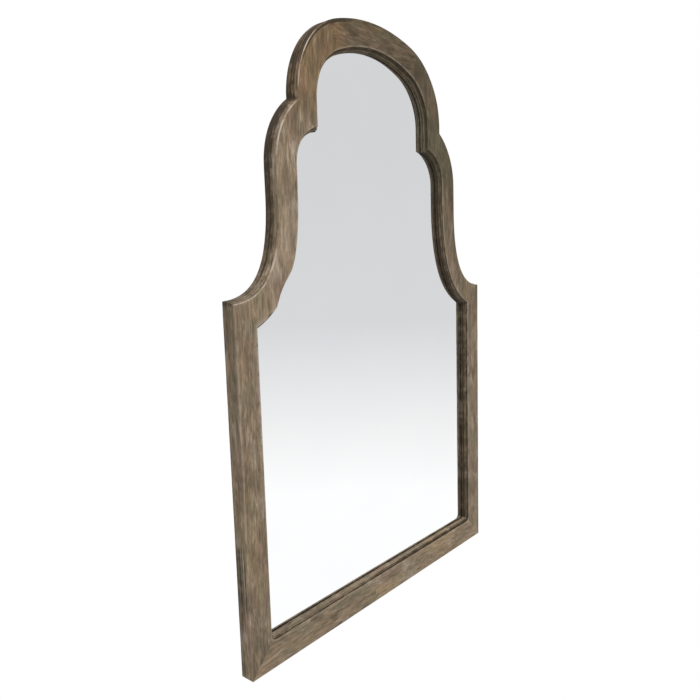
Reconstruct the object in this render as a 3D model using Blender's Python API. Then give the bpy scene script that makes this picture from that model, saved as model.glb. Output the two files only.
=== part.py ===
"""Cathedral arch wall mirror: a stepped wooden moulding in glued segments round a shaped mirror glass.

The front faces -Y, +Z is up and +X is to the right of someone who looks at the glass. The origin is in
the middle of the bottom face of the frame, half way through its depth. All lengths are in metres.
"""

import math

import bmesh
import bpy
import numpy as np
from mathutils import Matrix, Vector

for leftover in list(bpy.data.objects):
    bpy.data.objects.remove(leftover)

# Outer outline
frame_width = 0.762
shoulder_run = 0.10615
notch_run = 0.05705
shoulder_level = 0.6315
scoop_rise = 0.169
neck_length = 0.056
lobe_radius = 0.1315
spring_rise = 0.1205
haunch_radius = 0.148
crown_radius = 0.390
corner_radius = 0.004
tip_angle = math.radians(2)

# Width of the flat face between the outer outline and the opening
rail_face = 0.0495
stile_face = 0.048
shoulder_face = 0.0405
neck_face = 0.047
arch_face = 0.0453
crown_face = 0.0470

# Opening
inner_scoop_lift = 0.010
inner_lobe_radius = 0.070
inner_haunch_radius = 0.102
inner_crown_radius = 0.280
inner_corner_radius = 0.011
inner_tip_angle = math.radians(23.5)

# How far the ends of a scoop pull on its curve, as shares of the scoop's own rise and run
scoop_fall_share = 0.63
scoop_run_share = 0.71
inner_scoop_fall_share = 0.607
inner_scoop_run_share = 0.658

# The left side of the opening was carved a little deeper below the scoop, up to a blunt knuckle
knuckle_cut = 0.0085
knuckle_along_shares = (0.0, 0.21, 0.25, 0.29, 0.34, 0.39, 0.44, 0.49, 0.56, 1.0)
knuckle_cut_shares = (0.0, 0.0, 0.45, 0.85, 1.0, 0.90, 0.55, 0.18, 0.0, 0.0)

# Section of the moulding
frame_depth = 0.027
nose_radius = 0.0012
quirk_level = 0.0065
quirk_width = 0.003
quirk_depth = 0.0013
back_chamfer = 0.001
side_flare = 0.003
arris_radius = 0.0009
lip_reach = 0.007
lip_reach_shares = (0.11, 0.36, 0.66, 0.77, 0.89, 1.0)
lip_depth_shares = (0.28, 0.325, 0.50, 0.72, 0.76, 0.81)
glass_rebate = 0.011
board_ledge = 0.009

# Glass, its shims and the board behind it
glass_thickness = 0.004
glass_room = 0.0026
shim_length = 0.028
shim_offset = 0.180
board_thickness = 0.004
board_room = 0.001
board_recess = 0.0024

# Gap between pieces that lie against each other, and how far a bore runs past what it cuts
seat_gap = 0.0003
overrun = 0.001

# Joints between the frame pieces, each with a pair of dowels
splice_offset = -0.045
shoulder_joint_drop = 0.020
neck_joint_drop = 0.021
crown_joint_angle = math.radians(64)
dowel_radius = 0.004
dowel_length = 0.036
dowel_chamfer = 0.0006
dowel_place_shares = (0.27, 0.73)
mitre_dowel_place_shares = (0.48, 0.74)
dowel_depth_share = 0.44

# Pan heads of all screws: where the rounding starts and how wide the top is, as shares of the head
head_edge_share = 0.45
head_top_share = 0.72

# Screws that hold the board down
board_screw_radius = 0.0015
board_screw_length = 0.012
board_screw_head_radius = 0.0027
board_screw_head_height = 0.0018
rail_screw_share = 0.62
stile_screw_shares = (0.24, 0.78)
bend_screw_share = 0.50

# Strap hangers with their rings
hanger_drop = 0.010
hanger_inset = 0.003
strap_width = 0.012
strap_length = 0.052
strap_thickness = 0.0012
strap_curl_angle = math.radians(290)
ring_wire_radius = 0.0015
ring_inner_width = 0.028
ring_reach = 0.020
ring_corner_radius = 0.003
hanger_screw_radius = 0.00175
hanger_screw_length = 0.016
hanger_screw_head_radius = 0.0036
hanger_screw_head_height = 0.002
hanger_screw_shares = (0.62, 0.86)

# Bumpers that keep the frame off the wall
bumper_radius = 0.006
bumper_thickness = 0.005
bumper_round = 0.0012
bumper_rise = 0.035

# How finely round shapes are cut up
fine_steps = 48
corner_steps = 3
tip_steps = 2
scoop_steps = 20
lobe_steps = 9
haunch_steps = 9
crown_steps = 8
nose_steps = 2
curl_steps = 12
round_sides = 12
ring_steps = 10
ring_corner_steps = 2

# What follows from the sizes above
frame_half = frame_width / 2
neck_half = frame_half - shoulder_run
arch_half = neck_half - notch_run
scoop_top = shoulder_level + scoop_rise
lobe_level = scoop_top + neck_length
spring_level = lobe_level + spring_rise
front_y = -frame_depth / 2
back_y = frame_depth / 2
rebate_depth = frame_depth - board_recess - board_thickness - glass_thickness - 2 * seat_gap
ledge_depth = rebate_depth + seat_gap + glass_thickness
wall_inset = lip_reach - glass_rebate
edge_inset = wall_inset - board_ledge
inner_half = frame_half - stile_face
inner_shoulder = shoulder_level - shoulder_face
inner_neck = neck_half - neck_face
inner_arch_half = arch_half - arch_face


def arch_rise(half, haunch, crown):
    """Rise of a three-centred arch: a crown arc that rolls onto two haunch arcs, which end upright."""
    return crown - math.sqrt((crown - haunch) ** 2 - (half - haunch) ** 2)


frame_height = spring_level + arch_rise(arch_half, haunch_radius, crown_radius)
inner_spring = frame_height - crown_face - arch_rise(
    inner_arch_half, inner_haunch_radius, inner_crown_radius
)


def arc(centre, radius, start, end, steps):
    angles = np.linspace(start, end, steps + 1)
    return np.column_stack((centre[0] + radius * np.cos(angles), centre[1] + radius * np.sin(angles)))


def bezier(start, start_handle, end_handle, end, steps):
    t = np.linspace(0, 1, steps + 1)[:, None]
    weights = ((1 - t) ** 3, 3 * t * (1 - t) ** 2, 3 * t**2 * (1 - t), t**3)
    corners = (start, start_handle, end_handle, end)
    return sum(weight * np.array(corner) for weight, corner in zip(weights, corners))


def cradle(half, tip, bottom, radius):
    """From left of the middle along the bottom, round the corner and up the side to the shoulder."""
    corner = arc((half - radius, bottom + radius), radius, -math.pi / 2, 0, fine_steps)
    return np.vstack(((-arch_half, bottom), corner, (half, tip)))


def flank(tip, neck, top, radius, angle, fall_share, run_share):
    """From the shoulder tip along the scoop, straight up the neck and round the lobe."""
    reach = run_share * (tip[0] - neck)
    tip_handle = (tip[0] - reach * math.cos(angle), tip[1] + reach * math.sin(angle))
    top_handle = (neck, top - fall_share * (top - tip[1]))
    scoop = bezier(tip, tip_handle, top_handle, (neck, top), fine_steps)
    lobe = arc((neck - radius, lobe_level), radius, 0, math.pi / 2, fine_steps)
    return np.vstack((scoop, lobe))


def arch(half, spring, haunch, crown):
    """Upright from inside the lobe, then over the haunch and the crown to just past the middle."""
    turn = math.asin((half - haunch) / (crown - haunch))
    peak = spring + arch_rise(half, haunch, crown)
    side = arc((half - haunch, spring), haunch, 0, math.pi / 2 - turn, fine_steps)
    top = arc((0, peak - crown), crown, math.pi / 2 - turn, math.pi / 2 + turn, 2 * fine_steps)
    return np.vstack(((half, lobe_level), side, top[1:]))


def normals(run):
    """Unit normals that point to the left of the way the run goes, so into the opening."""
    steps = np.diff(run, axis=0)
    steps = steps / np.linalg.norm(steps, axis=1)[:, None]
    along = np.vstack((steps[:1], steps)) + np.vstack((steps, steps[-1:]))
    along = along / np.linalg.norm(along, axis=1)[:, None]
    return np.column_stack((-along[:, 1], along[:, 0]))


def lengths_along(run):
    return np.concatenate(([0], np.cumsum(np.linalg.norm(np.diff(run, axis=0), axis=1))))


def knuckled(run):
    """The inner flank with the deeper carving, which starts at the tip and fades out at the neck."""
    along = lengths_along(run)
    share = along / along[fine_steps]
    cut = knuckle_cut * np.interp(share, knuckle_along_shares, knuckle_cut_shares)
    return run - cut[:, None] * normals(run)


outer_outline = (
    cradle(frame_half, shoulder_level, 0, corner_radius),
    flank(
        (frame_half, shoulder_level), neck_half, scoop_top, lobe_radius,
        tip_angle, scoop_fall_share, scoop_run_share,
    ),
    arch(arch_half, spring_level, haunch_radius, crown_radius),
)
inner_outline = (
    cradle(inner_half, inner_shoulder, rail_face, inner_corner_radius),
    flank(
        (inner_half, inner_shoulder), inner_neck, scoop_top + inner_scoop_lift, inner_lobe_radius,
        inner_tip_angle, inner_scoop_fall_share, inner_scoop_run_share,
    ),
    arch(inner_arch_half, inner_spring, inner_haunch_radius, inner_crown_radius),
)
carved_outline = (inner_outline[0], knuckled(inner_outline[1]), inner_outline[2])

# Each joint as the line across the face where it is cut, from the outer outline to the opening
haunch_centre = np.array((arch_half - haunch_radius, spring_level))
crown_joint_way = np.array((math.cos(crown_joint_angle), math.sin(crown_joint_angle)))
crown_joint_outer = haunch_centre + haunch_radius * crown_joint_way
shoulder_joint = inner_shoulder - shoulder_joint_drop
neck_joint = lobe_level - neck_joint_drop
joint_lines = {
    "mitre": ((frame_half, 0), (inner_half, rail_face)),
    "shoulder": ((frame_half, shoulder_joint), (inner_half, shoulder_joint)),
    "neck": ((neck_half, neck_joint), (inner_neck, neck_joint)),
    "crown": (crown_joint_outer, crown_joint_outer - crown_face * crown_joint_way),
}


def joint_line(joint, side):
    """The line of a joint as the right half has it: on the left, the splice lies on its other side."""
    if joint == "splice":
        return np.array(((side * splice_offset, 0), (side * splice_offset, rail_face)))
    return np.array(joint_lines[joint])


def along_joint(line):
    """Unit vector square to the joint, the way the outline runs from the bottom to the crown."""
    way = (line[1] - line[0]) / np.linalg.norm(line[1] - line[0])
    return np.array((way[1], -way[0]))


def lengthened(run):
    """The run with both ends carried straight on, so that its neighbours cross it."""
    first = run[0] - run[1]
    last = run[-1] - run[-2]
    start = run[0] + stile_face * first / np.linalg.norm(first)
    end = run[-1] + stile_face * last / np.linalg.norm(last)
    return np.vstack((start, run, end))


def inset_runs(outline, inset, flare=0):
    """The cradle, the flank and the arch at an inset from their outline, each lengthened.

    The flare takes the flank outward again, and leaves the cradle and the arch upright.
    """
    insets = (inset, inset - flare, inset)
    return [lengthened(run + run_inset * normals(run)) for run, run_inset in zip(outline, insets)]


# Point numbers of a lengthened cradle between which its corner is rounded
corner_start = 2
corner_end = corner_start + fine_steps


def crossing(run, other):
    """Where two lines of points cross, as a place along each: point number plus share of the next step."""
    step = np.diff(run, axis=0)[:, None]
    other_step = np.diff(other, axis=0)[None]
    between = other[None, :-1] - run[:-1, None]
    area = step[..., 0] * other_step[..., 1] - step[..., 1] * other_step[..., 0]
    area = np.where(area == 0, np.inf, area)
    place = (between[..., 0] * other_step[..., 1] - between[..., 1] * other_step[..., 0]) / area
    other_place = (between[..., 0] * step[..., 1] - between[..., 1] * step[..., 0]) / area
    meets = (place >= 0) & (place <= 1) & (other_place >= 0) & (other_place <= 1) & np.isfinite(area)
    i, j = np.argwhere(meets)[0]
    return i + place[i, j], j + other_place[i, j]


def cut_place(run, joint, side, shift):
    """Where a joint cuts the run, moved by the shift along the frame."""
    line = joint_line(joint, side)
    return crossing(run, lengthened(line) + shift * along_joint(line))[0]


def stations(run, start, end, steps):
    """Points at equal steps between two places of a run."""
    numbers = np.arange(len(run))
    along = lengths_along(run)
    wanted = np.linspace(np.interp(start, numbers, along), np.interp(end, numbers, along), steps + 1)
    return np.column_stack([np.interp(wanted, along, run[:, axis]) for axis in (0, 1)])


def chained(*parts):
    """Stretches end to end, with the shared points kept once."""
    return np.vstack([parts[0]] + [part[1:] for part in parts[1:]])


# The upright line down the middle, past the bottom and the crown
middle_line = np.array(((0, -frame_height), (0, 2 * frame_height)))


def frame_lines(outline, inset, flare, side):
    """One line of the section along each frame piece of a half, from the bottom to the crown."""
    low, flank_run, top = inset_runs(outline, inset, flare)
    before, after = -seat_gap / 2, seat_gap / 2
    low_tip, flank_tip = crossing(low, flank_run)
    flank_notch, top_notch = crossing(flank_run, top)
    middle = crossing(top, middle_line)[0]
    lines = {}
    lines["rail"] = chained(
        stations(low, cut_place(low, "splice", side, after), corner_start, 1),
        stations(low, corner_start, cut_place(low, "mitre", side, before), corner_steps),
    )
    lines["stile"] = chained(
        stations(low, cut_place(low, "mitre", side, after), corner_end, corner_steps),
        stations(low, corner_end, cut_place(low, "shoulder", side, before), 1),
    )
    lines["shoulder"] = chained(
        stations(low, cut_place(low, "shoulder", side, after), low_tip, tip_steps),
        stations(flank_run, flank_tip, cut_place(flank_run, "neck", side, before), scoop_steps),
    )
    lines["lobe"] = chained(
        stations(flank_run, cut_place(flank_run, "neck", side, after), flank_notch, lobe_steps),
        stations(top, top_notch, cut_place(top, "crown", side, before), haunch_steps),
    )
    half_crown = stations(top, cut_place(top, "crown", side, after), middle, crown_steps)
    lines["crown"] = chained(half_crown, half_crown[::-1] * np.array((-1, 1)))
    return lines


def full_outline(inset):
    """The whole opening at an inset, once round: up the right side and down the carved left one."""
    halves = []
    for outline in (inner_outline, carved_outline):
        low, flank_run, top = inset_runs(outline, inset)
        low_tip, flank_tip = crossing(low, flank_run)
        flank_notch, top_notch = crossing(flank_run, top)
        middle = crossing(top, middle_line)[0]
        base = crossing(low, middle_line)[0]
        halves.append(chained(
            stations(low, base, corner_start, 1),
            stations(low, corner_start, corner_end, 2 * corner_steps),
            stations(low, corner_end, low_tip, 1),
            stations(flank_run, flank_tip, flank_notch, scoop_steps + lobe_steps),
            stations(top, top_notch, middle, haunch_steps + crown_steps),
        ))
    right, left = halves
    return np.vstack((right, left[-2:0:-1] * np.array((-1, 1))))


def material(name, colour, roughness, metallic):
    made = bpy.data.materials.new(name)
    made.use_nodes = True
    shader = made.node_tree.nodes["Principled BSDF"]
    shader.inputs["Base Color"].default_value = (*colour, 1)
    shader.inputs["Roughness"].default_value = roughness
    shader.inputs["Metallic"].default_value = metallic
    return made


def meshed(name, bm, finish=None):
    """A mesh from what was built, with its faces outward, smooth where the facets are shallow."""
    bmesh.ops.recalc_face_normals(bm, faces=bm.faces)
    mesh = bpy.data.meshes.new(name)
    bm.to_mesh(mesh)
    bm.free()
    mesh.shade_smooth()
    mesh.set_sharp_from_angle(angle=math.radians(32))
    if finish:
        mesh.materials.append(finish)
    return mesh


def placed(name, mesh, matrix=Matrix()):
    piece = bpy.data.objects.new(name, mesh)
    piece.matrix_world = matrix
    bpy.context.scene.collection.objects.link(piece)
    return piece


def add_turned(bm, profile, matrix):
    """Turn a profile of (radius, height) about +Z: an end at radius zero is a point, any other is flat."""
    turns = [2 * math.pi * k / round_sides for k in range(round_sides)]
    rings = []
    for radius, height in profile:
        around = turns if radius else turns[:1]
        points = [(radius * math.cos(a), radius * math.sin(a), height) for a in around]
        rings.append([bm.verts.new(matrix @ Vector(point)) for point in points])
    for low, high in zip(rings, rings[1:]):
        for k in range(round_sides):
            corners = (low[k % len(low)], low[(k + 1) % len(low)])
            corners += (high[(k + 1) % len(high)], high[k % len(high)])
            bm.faces.new(list(dict.fromkeys(corners)))
    for ring in (rings[0], rings[-1]):
        if len(ring) > 1:
            bm.faces.new(ring)


def aimed(place, way):
    """The matrix that puts a turned piece at a place with its +Z along the way."""
    return Matrix.Translation(Vector(place)) @ Vector(way).to_track_quat("Z", "Y").to_matrix().to_4x4()


def drill(name, radius, low, high, matrices):
    """One cutter with a bore for each matrix, from the low height to the high one."""
    bm = bmesh.new()
    for matrix in matrices:
        add_turned(bm, ((radius, low), (radius, high)), matrix)
    cutter = placed(name, meshed(name, bm))
    cutter.hide_render = True
    cutter.display_type = "WIRE"
    return cutter


def drilled(piece, cutter):
    bore = piece.modifiers.new(cutter.name, "BOOLEAN")
    bore.operation = "DIFFERENCE"
    bore.solver = "EXACT"
    bore.object = cutter


# Section of the moulding as (from the opening, inset toward the middle, flare, depth from the front)
nose = arc((nose_radius, nose_radius), nose_radius, math.pi, 1.5 * math.pi, nose_steps)
arris = arc((-arris_radius, arris_radius), arris_radius, -math.pi / 2, 0, nose_steps)
section = [
    (False, back_chamfer, side_flare, frame_depth),
    (False, 0, side_flare, frame_depth - back_chamfer),
    (False, 0, 0, quirk_level + quirk_width / 2),
    (False, quirk_depth, 0, quirk_level),
    (False, 0, 0, quirk_level - quirk_width / 2),
]
section += [(False, inset, 0, depth) for inset, depth in nose]
section += [(True, inset, 0, depth) for inset, depth in arris]
section += [
    (True, lip_reach * reach_share, 0, rebate_depth * depth_share)
    for reach_share, depth_share in zip(lip_reach_shares, lip_depth_shares)
]
section += [
    (True, lip_reach, 0, rebate_depth),
    (True, wall_inset, 0, rebate_depth),
    (True, wall_inset, 0, ledge_depth),
    (True, edge_inset, 0, ledge_depth),
    (True, edge_inset, 0, frame_depth),
]


def moulding(name, lines, side, finish):
    """A frame piece: the section carried along the stations of its lines and closed by its two ends."""
    bm = bmesh.new()
    grid = []
    for line, (*_, depth) in zip(lines, section):
        grid.append([bm.verts.new((side * x, front_y + depth, z)) for x, z in line])
    for line, following in zip(grid, grid[1:] + grid[:1]):
        for k in range(len(line) - 1):
            bm.faces.new((line[k], line[k + 1], following[k + 1], following[k]))
    bm.faces.new([line[0] for line in grid])
    bm.faces.new([line[-1] for line in grid])
    return placed(name, meshed(name, bm, finish))


# Frame pieces
sides = {"left": -1, "right": 1}
frame_pieces = []
for side_name, side in sides.items():
    opening = carved_outline if side_name == "left" else inner_outline
    outlines = {False: outer_outline, True: opening}
    halves = [frame_lines(outlines[inner], inset, flare, side) for inner, inset, flare, _ in section]
    for kind in ("rail", "stile", "shoulder", "lobe"):
        name = f"{kind}_{side_name}"
        wood = material(name, (0.215, 0.165, 0.120), 0.62, 0)
        frame_pieces.append(moulding(name, [half[kind] for half in halves], side, wood))
    crown_lines = [half["crown"] for half in halves]
crown_wood = material("crown", (0.225, 0.175, 0.130), 0.62, 0)
frame_pieces.append(moulding("crown", crown_lines, 1, crown_wood))

# Dowels, a pair across each joint
dowel_profile = (
    (dowel_radius - dowel_chamfer, -dowel_length / 2),
    (dowel_radius, dowel_chamfer - dowel_length / 2),
    (dowel_radius, dowel_length / 2 - dowel_chamfer),
    (dowel_radius - dowel_chamfer, dowel_length / 2),
)
dowel_bm = bmesh.new()
add_turned(dowel_bm, dowel_profile, Matrix())
dowel_mesh = meshed("dowel", dowel_bm, material("dowel", (0.62, 0.45, 0.28), 0.7, 0))
dowel_y = front_y + dowel_depth_share * frame_depth
dowel_matrices = []
joint_sides = [("splice", "middle", 1)]
joint_sides += [(joint, side_name, side) for joint in joint_lines for side_name, side in sides.items()]
for joint, side_name, side in joint_sides:
    line = joint_line(joint, side)
    way = along_joint(line)
    shares = mitre_dowel_place_shares if joint == "mitre" else dowel_place_shares
    for number, share in enumerate(shares, 1):
        x, z = line[0] + share * (line[1] - line[0])
        matrix = aimed((side * x, dowel_y, z), (side * way[0], 0, way[1]))
        placed(f"dowel_{joint}_{side_name}_{number}", dowel_mesh, matrix)
        dowel_matrices.append(matrix)
bore_half = dowel_length / 2 + overrun
dowel_drill = drill("dowel_drill", dowel_radius + seat_gap, -bore_half, bore_half, dowel_matrices)
for piece in frame_pieces:
    drilled(piece, dowel_drill)


def plate(name, outline, front, back, finish):
    """A flat sheet with the given outline, between two depths."""
    bm = bmesh.new()
    faces = [[bm.verts.new((x, front_y + depth, z)) for x, z in outline] for depth in (front, back)]
    for k in range(len(outline)):
        bm.faces.new((faces[0][k - 1], faces[0][k], faces[1][k], faces[1][k - 1]))
    for face in faces:
        bm.faces.new(face)
    return placed(name, meshed(name, bm, finish))


# Mirror glass
glass_front = rebate_depth + seat_gap
glass_back = glass_front + glass_thickness
glass_outline = full_outline(wall_inset + glass_room)
plate("mirror_glass", glass_outline, glass_front, glass_back, material("glass", (0.9, 0.92, 0.92), 0.03, 1))


def block(name, low, high, finish):
    bm = bmesh.new()
    size = [top - bottom for bottom, top in zip(low, high)]
    centre = [(top + bottom) / 2 for bottom, top in zip(low, high)]
    matrix = Matrix.Translation(Vector(centre)) @ Matrix.Diagonal(Vector((*size, 1)))
    bmesh.ops.create_cube(bm, size=1, matrix=matrix)
    return placed(name, meshed(name, bm, finish))


# Shims that carry the glass on the rebate of the rail
shim_low = rail_face + wall_inset + seat_gap
shim_high = rail_face + wall_inset + glass_room - seat_gap
for side_name, side in sides.items():
    shim_middle = side * shim_offset
    block(
        f"glass_shim_{side_name}",
        (shim_middle - shim_length / 2, front_y + glass_front, shim_low),
        (shim_middle + shim_length / 2, front_y + glass_back, shim_high),
        material(f"glass_shim_{side_name}", (0.05, 0.05, 0.05), 0.8, 0),
    )

# Backing board
board_front = ledge_depth + seat_gap
board_back = board_front + board_thickness
board_finish = material("backing_board", (0.33, 0.22, 0.13), 0.8, 0)
board = plate("backing_board", full_outline(edge_inset + board_room), board_front, board_back, board_finish)


def screw_mesh(name, radius, length, head_radius, head_height):
    """A pan head screw, with the underside of its head at height zero and its point below."""
    profile = (
        (0, -length),
        (radius, 2 * radius - length),
        (radius, 0),
        (head_radius, 0),
        (head_radius, head_edge_share * head_height),
        (head_top_share * head_radius, head_height),
    )
    bm = bmesh.new()
    add_turned(bm, profile, Matrix())
    return meshed(name, bm, material(name, (0.55, 0.53, 0.48), 0.35, 1))


# Board screws, six on each side, down the middle of the ledge
board_screw = screw_mesh(
    "board_screw", board_screw_radius, board_screw_length, board_screw_head_radius, board_screw_head_height
)
board_screw_matrices = []
for side_name, side in sides.items():
    opening = carved_outline if side_name == "left" else inner_outline
    lines = inset_runs(opening, wall_inset - board_ledge / 2)
    low_tip, flank_tip = crossing(lines[0], lines[1])
    flank_notch, top_notch = crossing(lines[1], lines[2])
    neck_place = cut_place(lines[1], "neck", side, 0)
    crown_place = cut_place(lines[2], "crown", side, 0)
    middle = crossing(lines[0], middle_line)[0]
    stretches = [(0, middle, corner_start, rail_screw_share)]
    stretches += [(0, corner_end, low_tip, share) for share in stile_screw_shares]
    stretches += [
        (1, flank_tip, neck_place, bend_screw_share),
        (1, neck_place, flank_notch, bend_screw_share),
        (2, top_notch, crown_place, bend_screw_share),
    ]
    for number, (run, start, end, share) in enumerate(stretches, 1):
        numbers = np.arange(len(lines[run]))
        along = lengths_along(lines[run])
        start_along, end_along = np.interp((start, end), numbers, along)
        wanted = start_along + share * (end_along - start_along)
        x, z = (np.interp(wanted, along, lines[run][:, axis]) for axis in (0, 1))
        matrix = aimed((side * x, front_y + board_back + seat_gap, z), (0, 1, 0))
        placed(f"board_screw_{side_name}_{number}", board_screw, matrix)
        board_screw_matrices.append(matrix)
board_drill = drill(
    "board_drill", board_screw_radius + seat_gap, -board_screw_length - overrun, overrun, board_screw_matrices
)
for piece in frame_pieces + [board]:
    drilled(piece, board_drill)

# Strap hangers: each strap is rolled round the straight side of its ring
curl_radius = ring_wire_radius + seat_gap
strap_radius = curl_radius + strap_thickness
pin_x = (neck_half + inner_neck - edge_inset) / 2 - hanger_inset
pin_y = back_y + seat_gap + strap_radius
pin_z = neck_joint - hanger_drop
curl_end = math.pi - strap_curl_angle
strap_profile = np.vstack((
    (-strap_radius, -strap_length),
    arc((0, 0), strap_radius, math.pi, curl_end, curl_steps),
    arc((0, 0), curl_radius, curl_end, math.pi, curl_steps),
    (-curl_radius, -strap_length),
))
ring_half = ring_inner_width / 2 + ring_wire_radius
corner = ring_half - ring_corner_radius
bow_level = ring_half - ring_reach
ring_path = np.vstack((
    arc((corner, -ring_corner_radius), ring_corner_radius, math.pi / 2, 0, ring_corner_steps),
    arc((0, bow_level), ring_half, 0, -math.pi, ring_steps),
    arc((-corner, -ring_corner_radius), ring_corner_radius, math.pi, math.pi / 2, ring_corner_steps),
))
hanger_screw = screw_mesh(
    "hanger_screw", hanger_screw_radius, hanger_screw_length,
    hanger_screw_head_radius, hanger_screw_head_height,
)
hanger_matrices = []
straps = []
for side_name, side in sides.items():
    pin = (side * pin_x, pin_y, pin_z)
    bm = bmesh.new()
    ends = [[bm.verts.new((x, y, z)) for y, z in strap_profile] for x in (-strap_width / 2, strap_width / 2)]
    for k in range(len(strap_profile)):
        bm.faces.new((ends[0][k - 1], ends[0][k], ends[1][k], ends[1][k - 1]))
    for end in ends:
        bm.faces.new(end)
    strap_name = f"hanger_strap_{side_name}"
    strap_finish = material(strap_name, (0.60, 0.57, 0.50), 0.35, 1)
    straps.append(placed(strap_name, meshed(strap_name, bm, strap_finish), Matrix.Translation(pin)))
    ring_name = f"hanger_ring_{side_name}"
    wire = bpy.data.curves.new(ring_name, "CURVE")
    wire.dimensions = "3D"
    wire.bevel_depth = ring_wire_radius
    wire.bevel_resolution = 2
    spline = wire.splines.new("POLY")
    spline.points.add(len(ring_path) - 1)
    for point, (x, z) in zip(spline.points, ring_path):
        point.co = (x, 0, z, 1)
    spline.use_cyclic_u = True
    wire.materials.append(material(ring_name, (0.62, 0.60, 0.55), 0.3, 1))
    placed(ring_name, wire, Matrix.Translation(pin))
    for number, share in enumerate(hanger_screw_shares, 1):
        place = (side * pin_x, pin_y - curl_radius + seat_gap, pin_z - share * strap_length)
        matrix = aimed(place, (0, 1, 0))
        placed(f"hanger_screw_{side_name}_{number}", hanger_screw, matrix)
        hanger_matrices.append(matrix)
hanger_drill = drill(
    "hanger_drill", hanger_screw_radius + seat_gap, -hanger_screw_length - overrun, overrun, hanger_matrices
)
for piece in frame_pieces + straps:
    if piece in straps or piece.name.startswith("shoulder"):
        drilled(piece, hanger_drill)

# Bumpers low on the back
bumper_profile = (
    (bumper_radius, 0),
    (bumper_radius, bumper_thickness - bumper_round),
    (bumper_radius - bumper_round, bumper_thickness),
)
bumper_bm = bmesh.new()
add_turned(bumper_bm, bumper_profile, Matrix())
bumper_mesh = meshed("bumper", bumper_bm, material("bumper", (0.11, 0.11, 0.11), 0.8, 0))
for side_name, side in sides.items():
    bumper_place = (side * (frame_half - stile_face / 2), back_y + seat_gap, bumper_rise)
    placed(f"bumper_{side_name}", bumper_mesh, aimed(bumper_place, (0, 1, 0)))
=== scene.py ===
"""Cathedral arch wall mirror: the look of each piece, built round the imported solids.

The front faces -Y, +Z is up and +X is to the right of someone who looks at the glass. All lengths are
in metres, and a grid of points is an array of (rows, stations, xyz).
"""

import math

import bpy
import numpy as np
from mathutils import Matrix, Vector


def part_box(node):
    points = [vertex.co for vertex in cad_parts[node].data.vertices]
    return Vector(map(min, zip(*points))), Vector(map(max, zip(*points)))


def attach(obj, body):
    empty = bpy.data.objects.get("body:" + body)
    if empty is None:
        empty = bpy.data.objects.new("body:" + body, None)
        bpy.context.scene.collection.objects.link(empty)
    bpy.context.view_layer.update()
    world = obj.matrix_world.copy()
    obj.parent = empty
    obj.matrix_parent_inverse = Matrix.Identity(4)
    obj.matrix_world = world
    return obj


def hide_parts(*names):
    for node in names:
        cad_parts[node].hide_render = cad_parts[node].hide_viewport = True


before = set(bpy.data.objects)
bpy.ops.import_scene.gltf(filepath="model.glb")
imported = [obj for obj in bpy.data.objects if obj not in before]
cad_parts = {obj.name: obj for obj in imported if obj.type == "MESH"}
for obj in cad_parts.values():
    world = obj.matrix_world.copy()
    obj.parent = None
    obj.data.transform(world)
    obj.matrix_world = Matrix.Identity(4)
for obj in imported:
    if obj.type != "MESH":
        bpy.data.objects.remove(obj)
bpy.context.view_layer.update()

# Bottom rail
# Two lengths of solid wood, glued end to end a little left of the middle, moulded on the front and
# rebated at the back. The scene's moulding has finer curves than the solid and takes the same places.

# Outer outline
frame_width = 0.762
shoulder_run = 0.10615
notch_run = 0.05705
shoulder_level = 0.6315
scoop_rise = 0.169
neck_length = 0.056
lobe_radius = 0.1315
spring_rise = 0.1205
haunch_radius = 0.148
crown_radius = 0.390
corner_radius = 0.0025
tip_angle = math.radians(2)
scoop_fall_share = 0.63
scoop_run_share = 0.71

# Flat face between the outer outline and the opening, and the opening itself
rail_face = 0.0495
stile_face = 0.048
shoulder_face = 0.0405
neck_face = 0.047
arch_face = 0.0453
crown_face = 0.0470
inner_scoop_lift = 0.010
inner_lobe_radius = 0.070
inner_haunch_radius = 0.102
inner_crown_radius = 0.280
inner_corner_radius = 0.011
inner_tip_angle = math.radians(23.5)
inner_scoop_fall_share = 0.607
inner_scoop_run_share = 0.658
knuckle_cut = 0.0085
knuckle_along_shares = (0.0, 0.21, 0.25, 0.29, 0.34, 0.39, 0.44, 0.49, 0.56, 1.0)
knuckle_cut_shares = (0.0, 0.0, 0.45, 0.85, 1.0, 0.90, 0.55, 0.18, 0.0, 0.0)

# Depths of the moulding, measured back from the front. The first of two or three values is for the
# upright part of the frame, the next for the scoop and lobe, and the last for the arch.
frame_depth = 0.027
nose_reaches = (0.0012, 0.0018, 0.0010)
nose_depths = (0.0012, 0.0028, 0.0024)
quirk_level = 0.0054
quirk_width = 0.0034
quirk_depths = (0.0003, 0.0010, 0.0013)
bend_flare = 0.0045
arch_flare = 0.0035
flare_end = math.radians(50)
flare_power = 0.6
back_round = 0.001
arris_radius = 0.0009
lip_reach = 0.007
rebate_depth = 0.016
ledge_depth = 0.0203
glass_rebate = 0.011
board_ledge = 0.009

# Joints, each a hairline wide, and how far the outer and the inner tip of the shoulder are worn round
splice_offset = -0.045
shoulder_joint_drop = 0.020
neck_joint_drop = 0.021
crown_joint_angle = math.radians(64)
hairline = 0.00006
tip_wear = 0.0034
inner_tip_wear = 0.0012

# Points of a smooth line, and stations along each stretch of a frame piece
line_steps = 96
rail_steps = 150
corner_steps = 8
stile_steps = 190
tip_steps = 26
worn_steps = 6
scoop_steps = 110
lobe_steps = 62
haunch_steps = 78
crown_steps = 64

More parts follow.
